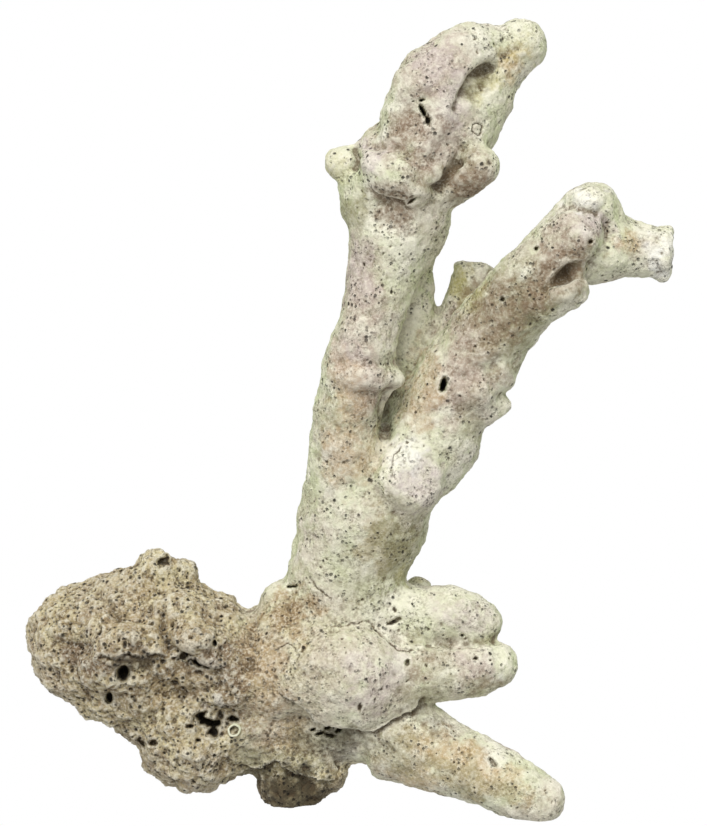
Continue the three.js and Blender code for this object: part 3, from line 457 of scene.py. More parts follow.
def limb_surface(lumps, depth, end, line):
    """An oval profile carried along a smooth line. Ring angle a gives the point centre + radius x swelling x
    (side x cos a + rear x depth x sin a). A round tip adds rings whose radius falls as a cosine while the
    centre runs on as a sine, and a broken tip one bevelled ring. Returns points and faces, closed by fans."""
    line = np.asarray(line, float)
    length = np.linalg.norm(np.diff(line[:, :3], axis=0), axis=1).sum()
    rows = smooth_line(line, max(4, int(length / RING_STEP)))
    centres = rows[:, :3]
    radii = rows[:, 3]
    tangents = np.gradient(centres, axis=0)
    tangents /= np.linalg.norm(tangents, axis=1)[:, None]
    last = centres[-1]
    outwards = tangents[-1]
    if end == "broken":
        turns = np.array([BREAK_BEVEL])
        widths = np.array([1 - BREAK_BEVEL])
    else:
        angles = np.linspace(0, np.pi / 2, TIP_RINGS + 1)[1:-1]
        turns = TIP_REACH * np.sin(angles)
        widths = np.cos(angles)
    tip_radius = radii[-1]
    centres = np.vstack([centres, last + outwards * (turns * tip_radius)[:, None]])
    radii = np.concatenate([radii, widths * tip_radius])
    tangents = np.vstack([tangents, np.repeat(outwards[None], len(turns), axis=0)])
    heading = line[-1, :3] - line[0, :3]
    upright = abs(heading[1]) > UPRIGHT * np.linalg.norm(heading)
    front = np.array([0.0, 0.0, 1.0]) if upright else np.array([0.0, 1.0, 0.0])
    side = np.cross(tangents, front)
    side /= np.linalg.norm(side, axis=1)[:, None]
    rear = np.cross(tangents, side)
    angle = np.linspace(0, 2 * np.pi, RING_SIDES, endpoint=False)
    arms = side[:, None] * np.cos(angle)[None, :, None]
    arms = arms + rear[:, None] * (depth * np.sin(angle))[None, :, None]
    arms *= radii[:, None, None]
    grid = centres[:, None] + arms
    grid = centres[:, None] + arms * (1 + lumps * swelling(grid))[..., None]
    count = len(centres)
    top = last + outwards * tip_radius * (TIP_REACH if end == "round" else BREAK_BEVEL)
    points = np.vstack([grid.reshape(-1, 3), centres[0], top])
    ring = np.arange(RING_SIDES)
    after = (ring + 1) % RING_SIDES
    start = np.arange(count - 1)[:, None] * RING_SIDES
    ahead = start + RING_SIDES
    quads = np.stack([start + ring, start + after, ahead + after, ahead + ring], axis=-1)
    first_fan = np.stack([after, ring, np.full(RING_SIDES, count * RING_SIDES)], axis=-1)
    offset = (count - 1) * RING_SIDES
    last_fan = np.stack([offset + ring, offset + after, np.full(RING_SIDES, count * RING_SIDES + 1)], axis=-1)
    return points, quads.reshape(-1, 4), np.vstack([first_fan, last_fan])


def mesh_from(name, points, faces):
    """A mesh in metres from points in millimetres and a list of arrays of faces, each array of one size."""
    mesh = bpy.data.meshes.new(name)
    loops = np.concatenate([block.ravel() for block in faces]).astype(np.int32)
    sizes = np.concatenate([np.full(len(block), block.shape[1]) for block in faces])
    starts = np.concatenate([[0], np.cumsum(sizes)[:-1]]).astype(np.int32)
    mesh.vertices.add(len(points))
    mesh.vertices.foreach_set("co", (np.asarray(points) * MM).astype(np.float32).ravel())
    mesh.loops.add(len(loops))
    mesh.loops.foreach_set("vertex_index", loops)
    mesh.polygons.add(len(sizes))
    mesh.polygons.foreach_set("loop_start", starts)
    mesh.update(calc_edges=True)
    mesh.validate()
    return mesh


def points_of(mesh):
    """All points of a mesh, in millimetres."""
    points = np.empty(len(mesh.vertices) * 3, np.float32)
    mesh.vertices.foreach_get("co", points)
    return points.reshape(-1, 3).astype(float) / MM


def quads_of(mesh):
    """All faces of a mesh that holds only quads."""
    corners = np.empty(len(mesh.loops), np.int32)
    mesh.loops.foreach_get("vertex_index", corners)
    return corners.reshape(-1, 4)


def modified(mesh, kind, **settings):
    """The mesh after one modifier, as points and quads."""
    holder = bpy.data.objects.new("coral_work", mesh)
    bpy.context.scene.collection.objects.link(holder)
    modifier = holder.modifiers.new("work", kind)
    for name, value in settings.items():
        setattr(modifier, name, value)
    depsgraph = bpy.context.evaluated_depsgraph_get()
    result = bpy.data.meshes.new_from_object(holder.evaluated_get(depsgraph))
    points = points_of(result)
    quads = quads_of(result)
    bpy.data.objects.remove(holder)
    bpy.data.meshes.remove(mesh)
    bpy.data.meshes.remove(result)
    return points, quads


def relaxed(points, quads, rounds, share=0.5):
    """Moves every point part of the way to the mean of its neighbours, several times over."""
    ends = np.vstack([quads[:, [i, (i + 1) % 4]] for i in range(4)])
    counts = np.bincount(ends[:, 0], minlength=len(points))
    points = points.copy()
    for _ in range(rounds):
        sums = [np.bincount(ends[:, 0], points[ends[:, 1], axis], len(points)) for axis in range(3)]
        points += share * (np.stack(sums, axis=1) / counts[:, None] - points)
    return points


def normals_of(points, quads):
    """The outward direction at each point: the cross products of its faces' diagonals, summed."""
    across = points[quads[:, 2]] - points[quads[:, 0]]
    along = points[quads[:, 3]] - points[quads[:, 1]]
    flat = np.cross(across, along)
    corners = quads.ravel()
    sums = [np.bincount(corners, np.repeat(flat[:, axis], 4), len(points)) for axis in range(3)]
    total = np.stack(sums, axis=1)
    return total / np.maximum(np.linalg.norm(total, axis=1), 1e-9)[:, None]


def cell_values(cells, seed):
    """A fixed random number from 0 to 1 for each whole-number cell, by multiplying, shifting and mixing."""
    x, y, z = np.moveaxis(cells.astype(np.int64) & 0xFFFFFFFF, -1, 0)
    mixed = (x * 73856093) ^ (y * 19349663) ^ (z * 83492791) ^ (seed * 2654435761)
    mixed &= 0xFFFFFFFF
    for shift, factor in ((16, 0x7FEB352D), (15, 0x68E31DA5)):
        mixed ^= mixed >> shift
        mixed = (mixed * factor) & 0xFFFFFFFF
    mixed ^= mixed >> 16
    return mixed / 0xFFFFFFFF


def smooth_noise(points, size, seed):
    """Soft random waves of the given size, from -1 to 1: random corner values blended across each cell."""
    scaled = points / size
    cells = np.floor(scaled).astype(np.int64)
    part = smooth_step(scaled - cells)
    total = np.zeros(len(points))
    for corner in np.ndindex(2, 2, 2):
        corner = np.array(corner)
        weight = np.prod(np.where(corner == 1, part, 1 - part), axis=1)
        total += weight * cell_values(cells + corner, seed)
    return 2 * total - 1


def layered_noise(points, size, seed, layers=3):
    """Waves of the given size with finer ones on top, each half as large and half as strong."""
    total = np.zeros(len(points))
    for layer in range(layers):
        total += smooth_noise(points, size / 2 ** layer, seed + layer) / 2 ** layer
    return total


def scattered_pits(points, spacing, seed, share, smallest, largest):
    """Bowls round scattered centres, one in some cells of a cubic grid: 1 at a centre, falling to 0 at the
    bowl's own radius. The centres keep to the middle of the cells, so eight cells are enough to look in."""
    scaled = points / spacing
    lowest = np.floor(scaled - 0.5).astype(np.int64)
    deepest = np.zeros(len(points))
    for corner in np.ndindex(2, 2, 2):
        cells = lowest + np.array(corner)
        centres = cells + 0.5
        for axis in range(3):
            centres[:, axis] += 0.5 * (cell_values(cells, seed + 11 * axis) - 0.5)
        radius = smallest + (largest - smallest) * cell_values(cells, seed + 51) ** 2
        there = cell_values(cells, seed + 77) < share
        gap = np.linalg.norm(scaled - centres, axis=1) * spacing
        deepest = np.maximum(deepest, np.where(there, smooth_step(1.35 * (1 - gap / radius)), 0))
    return deepest


def sight_direction():
    """The way the camera looks: level to the back, tilted down by its elevation."""
    tilt = np.radians(SIGHT_ELEVATION)
    return np.array([0, np.cos(tilt), -np.sin(tilt)])


def sight_of(points):
    """Where the camera sees each point: its offsets across and up from the line of sight, over its distance,
    scaled to the plane through the target that stands upright."""
    tilt = np.radians(SIGHT_ELEVATION)
    forward = sight_direction()
    upward = np.array([0, np.sin(tilt), np.cos(tilt)])
    offset = points - (np.array(SIGHT_TARGET) - SIGHT_DISTANCE * forward)
    scale = SIGHT_DISTANCE / (offset @ forward)
    across = SIGHT_TARGET[0] + offset[:, 0] * scale
    above = SIGHT_TARGET[2] + (offset @ upward) * scale / np.cos(tilt)
    return np.stack([across, above], axis=1)


def oval_distance(sight, x, z, half_width, half_height, lean):
    """Distance from an oval's centre in its own radii, after leaning the oval."""
    turn = np.radians(lean)
    right = sight[:, 0] - x
    above = sight[:, 1] - z
    along = right * np.cos(turn) + above * np.sin(turn)
    across = above * np.cos(turn) - right * np.sin(turn)
    return np.hypot(along / half_width, across / half_height)


def line_distance(sight, line):
    """Distance to the nearest point of a bent line: to each stretch in turn, keeping the least."""
    nearest = np.full(len(sight), np.inf)
    for start, end in zip(np.asarray(line[:-1], float), np.asarray(line[1:], float)):
        stretch = end - start
        part = np.clip((sight - start) @ stretch / (stretch @ stretch), 0, 1)
        nearest = np.minimum(nearest, np.linalg.norm(sight - start - part[:, None] * stretch, axis=1))
    return nearest


def rock_share(points):
    """How rocky the coral is at each point: 1 in the base rock and the foot, about half on the body's left
    and underside, and fading out upwards and towards the fingers."""
    x, _, z = points.T
    wander = 4 * layered_noise(points, 12, 5)
    rock = smooth_step((-15 - x + wander) / 12)
    body = 0.5 * smooth_step((92 - z + wander) / 26) * smooth_step((22 - x + wander) / 26)
    foot = smooth_step((22 - z + wander) / 12) * smooth_step((28 - x + wander) / 16)
    return np.clip(np.maximum(rock, body) + foot, 0, 1)


def carved(points, quads):
    """The skin with its relief. Lumps and pits move each point along its normal by layered noise and bowls,
    stronger on rock than on branches; front pits, swellings, cracks and lips are set where the camera sees
    them, on faces turned to it. Returns the points, how hollow each one is, which sets the painted shade in
    pits, cracks and under lips, and how rocky."""
    rock = rock_share(points)
    branch = 1 - rock
    normals = normals_of(points, quads)
    height = rock * (1.7 * layered_noise(points, 13, 21) + 1.1 * layered_noise(points, 4.6, 31, 4))
    height += branch * (0.8 * layered_noise(points, 11, 41) + 0.42 * layered_noise(points, 3.4, 45, 3))
    height += (0.1 + 0.45 * rock) * smooth_noise(points, 1.6, 35)
    bent = points + 0.6 * np.stack([smooth_noise(points, 2.1, seed) for seed in (36, 37, 38)], axis=1)
    hollow = np.zeros(len(points))
    grounds = {"rock": rock, "branch": branch}
    for spacing, share, smallest, largest, depth, strength, ground in SCATTERED_PITS:
        where = grounds[ground]
        crowded = smooth_step(1.2 * smooth_noise(points, 15, int(spacing * 10)) + 0.8)
        bowl = scattered_pits(bent, spacing, int(spacing * 100), share, smallest, largest) * where * crowded
        height -= depth * bowl
        # Each pit gets painted shade by its darkness.
        hollow = np.maximum(hollow, strength * bowl)
    sight = sight_of(points)
    facing = smooth_step((-normals[:, 1] + 0.02) / 0.3)
    for width, depth, line in FURROWS:
        height -= depth * np.exp(-(line_distance(sight, line) / width) ** 2) * facing
    for x, z, half_width, half_height, lean, _ in STAIN_OVALS["white"]:
        torn = smooth_step(1.5 - oval_distance(sight, x, z, half_width, half_height, lean))
        height += 0.7 * torn * layered_noise(points, 3.2, 55)
    for x, z, half_width, half_height, lean, stands in FRONT_BOSSES:
        oval = oval_distance(sight, x, z, half_width, half_height, lean)
        height += stands * smooth_step(1.25 - 0.85 * oval) * facing
    tearing = smooth_noise(points, 2.3, 61) + 0.6 * smooth_noise(points, 1.1, 62)
    sunk = np.zeros(len(points))
    for x, z, half_width, half_height, lean, depth in FRONT_PITS:
        # A round pit was bored and keeps a clean rim; a long one was broken open.
        bored = max(half_width, half_height) < 1.25 * min(half_width, half_height)
        torn = 0.06 if bored else 0.42
        oval = oval_distance(sight, x, z, half_width, half_height, lean) * (1 + torn * tearing)
        sunk = np.maximum(sunk, depth * smooth_step(1.3 * (1.35 - oval)) * facing)
        # Deep front pits are darkened with painted shade.
        dark = smooth_step(1.7 * (1.2 - oval)) * facing * np.clip((depth - 2.4) / 3, 0, 1)
        hollow = np.maximum(hollow, dark)
    shaken = sight + 0.5 * np.stack([smooth_noise(points, 2.2, seed) for seed in (65, 66)], axis=1)
    open_here = 0.6 + 0.4 * smooth_noise(points, 5, 67)
    for line in CRACKS:
        cut = smooth_step(1.5 - line_distance(shaken, line) / CRACK_HALF_WIDTH) * facing * open_here
        height -= CRACK_DEPTH * cut
        # Cracks are darkened with painted shade.
        hollow = np.maximum(hollow, 0.7 * cut)
    for reach, softness, line in LIPS:
        line = np.asarray(line, float)
        above = shaken[:, 1] - np.interp(shaken[:, 0], line[:, 0], line[:, 1])
        above = above + 1.1 * smooth_noise(points, 4, 71)
        ends = smooth_step((sight[:, 0] - line[0, 0]) / 5) * smooth_step((line[-1, 0] - sight[:, 0]) / 5)
        over = np.where(above > -0.6, np.exp(-np.maximum(above, 0) / softness), 0)
        over = over * smooth_step(above / 1.2 + 0.5)
        under = np.where(above <= 0, np.exp(np.minimum(above, 0) / softness), 0)
        height += reach * (0.5 * over - 0.8 * under) * ends * facing
        # The ground under the lip gets painted shadow.
        hollow = np.maximum(hollow, 0.32 * under ** 2 * ends * facing)
    moved = points + normals * height[:, None] + sight_direction() * sunk[:, None]
    moved[:, 2] = np.maximum(moved[:, 2], 0)
    return moved, hollow, rock


def dips(points, quads):
    """How far each point lies below its softened surroundings, over three widths, each against its own usual
    depth: above 0 in a crevice and below 0 on a ridge."""
    total = np.zeros(len(points))
    softened = points
    for rounds, weight in ((3, 0.45), (12, 0.4), (45, 0.35)):
        softened = relaxed(softened, quads, rounds)
        depth = ((softened - points) * normals_of(softened, quads)).sum(axis=1)
        total += weight * np.clip(depth / (2.2 * depth.std()), -1.2, 1.2)
    return total


def stain_shares(points, normals, rock):
    """How strong each stain, painted shade among them, is at each point: soft ovals seen from the front, bent
    out of shape by noise, and on the sides and the back clouds of noise alone. A green film lies on the
    branches' flanks."""
    bend = np.stack([layered_noise(points, 9, seed) for seed in (181, 191)], axis=1)
    sight = sight_of(points) + 4.5 * bend
    facing = smooth_step((-normals[:, 1] + 0.15) / 0.6)
    wander = 0.3 * layered_noise(points, 3.5, 81)
    shares = {stain: np.zeros(len(points)) for stain in STAIN_OVALS}
    for stain, ovals in STAIN_OVALS.items():
        for x, z, half_width, half_height, lean, strength in ovals:
            oval = oval_distance(sight, x, z, half_width, half_height, lean)
            spot = smooth_step((1.45 - oval + wander) / 1.1) * facing * strength
            shares[stain] = np.maximum(shares[stain], spot)
    film = smooth_step(0.55 + 0.8 * layered_noise(points, 19, 97)) * 0.45 * facing
    shares["mauve"] = np.maximum(shares["mauve"], film)
    flank = smooth_step((abs(normals[:, 0]) - 0.5 + wander) / 0.5)
    shares["film"] = 0.85 * flank * (1 - rock)
    elsewhere = 1 - facing
    for number, (stain, strength) in enumerate((("mauve", 0.7), ("brown", 0.45), ("yellow", 0.35))):
        cloud = smooth_step(1.6 * (layered_noise(points, 16, 91 + number) - 0.1))
        shares[stain] = np.maximum(shares[stain], cloud * strength * elsewhere)
    return shares


def piece_numbers(points):
    """Which piece each point belongs to: the first fork box that holds it, or else the last piece. A point is
    in a box if, once turned back and leaned back about the box's base, it is within the box's sides."""
    numbers = np.full(len(points), len(FORKS))
    for number, (_, base, (width, thickness, length), lean, turn) in reversed(list(enumerate(FORKS))):
        turned = np.radians(turn)
        leaned = np.radians(-lean)
        offset = points - np.array(base)
        x = offset[:, 0] * np.cos(turned) - offset[:, 1] * np.sin(turned)
        y = offset[:, 0] * np.sin(turned) + offset[:, 1] * np.cos(turned)
        across = x * np.cos(leaned) + offset[:, 2] * np.sin(leaned)
        up = -x * np.sin(leaned) + offset[:, 2] * np.cos(leaned)
        inside = (abs(across) <= width / 2) & (abs(y) <= thickness / 2) & (up >= 0) & (up <= length)
        numbers[inside] = number
    return numbers


def joined_edges(quads):
    """All edges as each face runs round them, each one's own face and the face on its other side. The other
    side is found by looking for the same edge run backwards."""
    edges = np.vstack([quads[:, [i, (i + 1) % 4]] for i in range(4)]).astype(np.int64)
    face = np.tile(np.arange(len(quads)), 4)
    size = int(edges.max()) + 1
    forward = edges[:, 0] * size + edges[:, 1]
    backward = edges[:, 1] * size + edges[:, 0]
    order = np.argsort(forward)
    partner = order[np.searchsorted(forward, backward, sorter=order)]
    return edges, face, face[partner]


def without_islands(owners, face, beside):
    """The pieces' numbers after each patch of faces that is cut off from its piece's largest patch has gone
    to the piece it shares the longest rim with. A patch's label is the lowest face number in it, handed on
    from face to face until nothing changes."""
    labels = np.arange(len(owners))
    within = owners[face] == owners[beside]
    while True:
        lowest = labels.copy()
        np.minimum.at(lowest, face[within], labels[beside[within]])
        lowest = lowest[lowest]
        if (lowest == labels).all():
            break
        labels = lowest
    sizes = np.bincount(labels)
    patches = np.unique(labels)
    settled = owners.copy()
    for number in np.unique(owners):
        mine = patches[owners[patches] == number]
        for patch in mine[mine != mine[np.argmax(sizes[mine])]]:
            rim = (labels[face] == patch) & (labels[beside] != patch)
            settled[labels == patch] = np.bincount(owners[beside[rim]]).argmax()
    return settled


def rim_loops(edges):
    """The closed loops that a set of edges runs round. A walk takes one unused edge after another, and ends
    where it started."""
    onward = {}
    for start, end in edges.tolist():
        onward.setdefault(start, []).append(end)
    loops = []
    for first in list(onward):
        while onward[first]:
            loop = [first]
            point = onward[first].pop()
            while point != first:
                loop.append(point)
                point = onward[point].pop()
            loops.append(np.array(loop))
    return loops


def cap_triangles(ring, outward):
    """Fills a loop with triangles between its own points, cutting off one corner after another: the corner
    with the shortest line across, of those whose line runs into the coral at both its ends."""
    left = np.arange(len(ring))
    triangles = []
    while len(left) > 2:
        before, after = np.roll(left, 1), np.roll(left, -1)
        across = ring[after] - ring[before]
        length = np.linalg.norm(across, axis=1)
        leaving = np.maximum((across * outward[before]).sum(axis=1), -(across * outward[after]).sum(axis=1))
        chosen = np.argmin(length + np.where(leaving > 0.1 * length, CORAL_WIDTH, 0))
        triangles.append((after[chosen], left[chosen], before[chosen]))
        left = np.delete(left, chosen)
    return np.array(triangles)


def closed_piece(number, points, normals, quads, owners, joined):
    """One piece's points, faces and whole-coral point numbers. Each loop of edges at a fork is closed by a
    band that dives below the skin and by triangles across, so next to nothing of a cap shows outside."""
    edges, face, beside = joined
    used, compact = np.unique(quads[owners == number], return_inverse=True)
    place = np.full(len(points), -1)
    place[used] = np.arange(len(used))
    rings, bands, caps = [points[used]], [], []
    total = len(used)
    for loop in rim_loops(place[edges[(owners[face] == number) & (owners[beside] != number)]]):
        ring = points[used[loop]] - CAP_DIVE * normals[used[loop]]
        inner = total + np.arange(len(loop))
        rings.append(ring)
        bands.append(np.stack([np.roll(loop, -1), loop, inner, np.roll(inner, -1)], axis=1))
        caps.append(total + cap_triangles(ring, normals[used[loop]]))
        total += len(loop)
    return np.vstack(rings), [compact.reshape(-1, 4), np.vstack(bands), np.vstack(caps)], used


def coral_material(name, colours):
    """The surface of a long-dead coral. One set of rules serves branches and rock, and how rocky a point is
    mixes them, so the colour runs on across a fork."""
    material = bpy.data.materials.new(name)
    material.use_nodes = True
    tree = material.node_tree
    tree.nodes.clear()
    place = add_node(tree, "ShaderNodeTexCoord").outputs["Object"]

    def noise(size_mm, detail=2.0, roughness=0.5):
        """Noise whose waves are the given number of millimetres long."""
        inputs = {"Vector": place, "Scale": 1 / (size_mm * MM), "Detail": detail, "Roughness": roughness}
        return add_node(tree, "ShaderNodeTexNoise", inputs).outputs["Fac"]

    def ramp(value, low, high, low_out=0.0, high_out=1.0):
        """The value stretched so that low gives low_out and high gives high_out, held at both."""
        inputs = {"Value": value, "From Min": low, "From Max": high, "To Min": low_out, "To Max": high_out}
        return add_node(tree, "ShaderNodeMapRange", inputs, clamp=True).outputs["Result"]

    def blend(share, under, over):
        """The colour over laid on the colour under by the given share."""
        node = add_node(tree, "ShaderNodeMix", data_type="RGBA")
        for key, value in ((0, share), (6, under), (7, over)):
            if isinstance(value, bpy.types.NodeSocket):
                tree.links.new(value, node.inputs[key])
            else:
                node.inputs[key].default_value = value if key == 0 else (*value[:3], 1)
        return node.outputs[2]

    def math(how, first, second):
        """One sum or product of two values."""
        return add_node(tree, "ShaderNodeMath", {0: first, 1: second}, operation=how).outputs[0]

    def attribute(field):
        """A value stored at each point of the mesh."""
        return add_node(tree, "ShaderNodeAttribute", attribute_name=field).outputs["Fac"]

    def share_of(stain):
        """A stain's share, crumbled at its edge by coarse and fine noise."""
        raw = attribute(stain)
        crumbs = math("SUBTRACT", noise(2.6, 4.0, 0.7), 0.5)
        crumbled = math("ADD", raw, math("MULTIPLY", crumbs, 1.3))
        return math("MULTIPLY", ramp(crumbled, 0.1, 1.0), ramp(raw, 0.0, 0.3))

    wobble = add_node(tree, "ShaderNodeTexNoise", {"Vector": place, "Scale": 1 / (1.2 * MM), "Detail": 2.0})
    bent = add_node(tree, "ShaderNodeVectorMath", {
        0: wobble.outputs["Color"], 1: (0.9 * MM,) * 3, 2: place}, operation="MULTIPLY_ADD").outputs["Vector"]

    def pores(spacing_mm, radius, least):
        """Dark pores of many sizes in some cells of the given spacing; radius is in cells."""
        cells = add_node(tree, "ShaderNodeTexVoronoi", {"Vector": bent, "Scale": 1 / (spacing_mm * MM)})
        picks = add_node(tree, "ShaderNodeSeparateColor", {0: cells.outputs["Color"]}).outputs
        gap = math("DIVIDE", cells.outputs["Distance"], ramp(picks[1], 0.0, 1.0, 0.4, 1.5))
        depth = ramp(gap, radius * 0.6, radius * 1.3, 1.0, 0.0)
        return math("MULTIPLY", depth, ramp(picks[0], least, least + 0.3))

    rock = attribute("rock")
    worn = ramp(noise(7, 4.0, 0.65), 0.38, 0.64)
    branch_tone = blend(ramp(noise(13, 4.0, 0.6), 0.38, 0.64), tuple(colours.cream), tuple(colours.greenish))
    rock_tone = blend(worn, tuple(colours.rock_cream), tuple(colours.rock_tan))
    colour = blend(rock, branch_tone, rock_tone)
    # Each stain is laid over the colour in turn; the dark algae, turf and brown stains also paint shade.
    for stain in STAIN_OVALS:
        colour = blend(math("MULTIPLY", share_of(stain), 0.9), colour, tuple(getattr(colours, stain)))

    # Crevices are darkened with painted shade and some real grime, and ridges are chalky, over three widths
    # of relief.
    scatter = math("MULTIPLY", math("SUBTRACT", noise(1.3, 4.0, 0.7), 0.5), ramp(rock, 0.0, 1.0, 0.8, 1.1))
    dip = math("ADD", attribute("dip"), scatter)
    # Where dark algae, turf and their painted shade lie, no chalk or light grains go.
    overgrowth_and_painted_shade = math("MAXIMUM", attribute("olive"), math("MULTIPLY", attribute("moss"), 0.5))
    bare_and_unshaded = math("SUBTRACT", 1.0, overgrowth_and_painted_shade)
    colour = blend(ramp(dip, 0.1, 1.0, 0.0, 0.82), colour, tuple(colours.dirt))
    colour = blend(math("MULTIPLY", ramp(dip, -0.18, -1.1, 0.0, 0.55), bare_and_unshaded), colour, tuple(colours.chalk))

    # A speckle of light and dark grains about a millimetre wide, fainter on the branches than on the rock.
    speckle = noise(1.0, 3.0, 0.7)
    crowding = ramp(noise(8.0, 3.0, 0.6), 0.42, 0.6)
    dark_grains = math("MULTIPLY", ramp(speckle, 0.5, 0.62), ramp(rock, 0.0, 1.0, 0.5, 0.6))
    colour = blend(math("MULTIPLY", dark_grains, crowding), colour, tuple(colours.dirt))
    light_grains = math("MULTIPLY", ramp(speckle, 0.48, 0.38), ramp(rock, 0.0, 1.0, 0.3, 0.5))
    colour = blend(math("MULTIPLY", light_grains, bare_and_unshaded), colour, tuple(colours.chalk))

    # Pin pores crowd in patches on the branches; borers' pits are wider and nearly black on the rock. Their
    # darkness is painted shade.
    fine = math("MULTIPLY", pores(1.5, 0.28, 0.35), crowding)
    lone = pores(4.2, 0.11, 0.3)
    coarse = math("MULTIPLY", pores(1.8, 0.3, 0.4), rock)
    pore = math("MAXIMUM", math("MAXIMUM", math("MULTIPLY", fine, 0.8), lone), coarse)
    colour = blend(math("MULTIPLY", pore, 0.9), colour, tuple(colours.shadow))
    # Painted shade deep in pits and cracks, under lips and inside the worm tube.
    colour = blend(ramp(attribute("hollow"), 0.3, 1.0, 0.0, 0.95), colour, tuple(colours.shadow))

    grain = noise(0.8, 4.0, 0.75)
    rough = math("MULTIPLY", math("ADD", grain, noise(2.2, 3.0, 0.6)), ramp(rock, 0.0, 1.0, 0.4, 1.0))
    height = math("SUBTRACT", rough, pore)
    bumped = add_node(tree, "ShaderNodeBump", {"Strength": 1.0, "Distance": 1.3 * MM, "Height": height})
    surface = add_node(tree, "ShaderNodeBsdfPrincipled", {
        "Base Color": colour, "Roughness": 0.93, "Specular IOR Level": 0.2,
        "Normal": bumped.outputs["Normal"]})
    add_node(tree, "ShaderNodeOutputMaterial", {"Surface": surface.outputs["BSDF"]})
    return material


class CoralForm(bpy.types.PropertyGroup):
    """Sizes of the coral's skin."""
    skin_grain: bpy.props.FloatProperty(
        name="Skin grain", description="Width of the first skin's faces", default=1.14 * MM, unit="LENGTH")
    fork_rounds: bpy.props.IntProperty(
        name="Fork softening", description="Rounds of softening where limbs meet", default=16,
        subtype="UNSIGNED")
    skin_offset: bpy.props.FloatProperty(
        name="Skin offset", description="Growth that makes up for the softening", default=0.2 * MM,
        unit="LENGTH")


class CoralColours(bpy.types.PropertyGroup):
    """Colours of the coral."""
    __annotations__ = {
        name: bpy.props.FloatVectorProperty(
            name=name.replace("_", " ").capitalize(), description=what, default=linear_colour(shade),
            subtype="COLOR")
        for name, (shade, what) in COLOURS.items()}


class CoralStage(bpy.types.PropertyGroup):
    """Light and view."""
    key_strength: bpy.props.FloatProperty(
        name="Key light", description="Strength of the soft light from above left", default=2.75,
        subtype="UNSIGNED")
    key_width: bpy.props.FloatProperty(
        name="Key width", description="How wide the key light is in the sky", default=np.radians(40),
        subtype="ANGLE")
    sky_strength: bpy.props.FloatProperty(
        name="Sky", description="Strength of the even light all round", default=0.6, subtype="UNSIGNED")


class CORAL_OT_grow(bpy.types.Operator):
    """Grows the whole coral and parts it at its forks"""
    bl_idname = "coral.grow"
    bl_label = "Grow Coral"

    def execute(self, context):
        form = context.scene.coral_form
        colours = context.scene.coral_colours
        points, faces, total = [], [], 0
        for _, lumps, depth, end, line in LIMBS:
            limb_points, quads, fans = limb_surface(lumps, depth, end, line)
            points.append(limb_points)
            faces += [quads + total, fans + total]
            total += len(limb_points)
        lofts = mesh_from("coral_lofts", np.vstack(points), faces)
        points, quads = modified(lofts, "REMESH", mode="VOXEL", voxel_size=form.skin_grain)
        points = relaxed(points, quads, form.fork_rounds)
        points += normals_of(points, quads) * form.skin_offset / MM
        fine = mesh_from("coral_skin", points, [quads])
        points, quads = modified(fine, "SUBSURF", levels=1, render_levels=1)
        points, hollow, rock = carved(points, quads)
        normals = normals_of(points, quads)
        shares = stain_shares(points, normals, rock)
        shares.update(hollow=hollow, rock=rock, dip=dips(points, quads))
        joined = joined_edges(quads)
        owners = without_islands(piece_numbers(points[quads].mean(axis=1)), *joined[1:])
        materials = {
            # The skeleton's own mineral: a pale matt skin with pin pores and green, mauve and brown films,
            # with painted shade in its pores and crevices and on its shaded sides.
            "crusted_branch": coral_material("aragonite_branch_crust", colours),
            # Crust that grew over the body: smoother, cream and pinkish, with thin cracks darkened by painted
            # shade.
            "crusted_body": coral_material("coralline_body_crust", colours),
            # Old reef rock: tan and grainy, with painted shade nearly black in every borer's pit.
            "bored_rock": coral_material("bored_reef_limestone", colours),
        }
        slots = {part["node"]: part["material_slot"] for part in frame["record"]["subparts"]}
        for number, node in enumerate([fork[0] for fork in FORKS] + [LAST_PIECE]):
            piece_points, blocks, used = closed_piece(number, points, normals, quads, owners, joined)
            if not len(used):
                raise RuntimeError(f"{node} has no skin of its own")
            mesh = mesh_from(node + "_skin", piece_points, blocks)
            added = len(piece_points) - len(used)
            for stain, values in shares.items():
                layer = mesh.attributes.new(stain, "FLOAT", "POINT")
                layer.data.foreach_set("value", np.append(values[used], np.zeros(added)).astype(np.float32))
            mesh.shade_smooth()
            directions = np.vstack([normals[used], np.repeat([[0.0, 0.0, 1.0]], added, axis=0)])
            mesh.normals_split_custom_set_from_vertices(directions)
            mesh.materials.append(materials[slots[node]])
            piece = bpy.data.objects.new(node + "_skin", mesh)
            context.scene.collection.objects.link(piece)
            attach(piece, "root")
            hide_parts(node)
        return {"FINISHED"}


class CORAL_OT_tube(bpy.types.Operator):
    """Sets the pale worm tube beside the rock's cave, on the skin that it grew on"""
    bl_idname = "coral.tube"
    bl_label = "Add Worm Tube"

    def execute(self, context):
        rock = bpy.data.objects.get("base_rock_skin")
        if rock is None:
            raise RuntimeError("the base rock has to be grown before its worm tube")
        skin = points_of(rock.data)
        skin = skin[np.linalg.norm(sight_of(skin) - np.array(TUBE_SIGHT), axis=1) < TUBE_OUTER]
        front = skin[skin[:, 1] < skin[:, 1].min() + TUBE_GROUND]
        mouth = front.mean(axis=0) - TUBE_STANDS * sight_direction()
        points, quads = tube_surface(mouth)
        mesh = mesh_from("worm_tube", points, [quads])
        mesh.shade_smooth()
        # The inner rows get painted shade.
        inside = np.arange(len(points)) // TUBE_SIDES > TUBE_STEPS
        layer = mesh.attributes.new("hollow", "FLOAT", "POINT")
        layer.data.foreach_set("value", inside.astype(np.float32))
        # A worm's lime: a clean pale ring, its middle darkened with painted shade, beside the cave.
        mesh.materials.append(coral_material("worm_tube_lime", context.scene.coral_colours))
        tube = bpy.data.objects.new("worm_tube", mesh)
        context.scene.collection.objects.link(tube)
        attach(tube, "root")
        return {"FINISHED"}


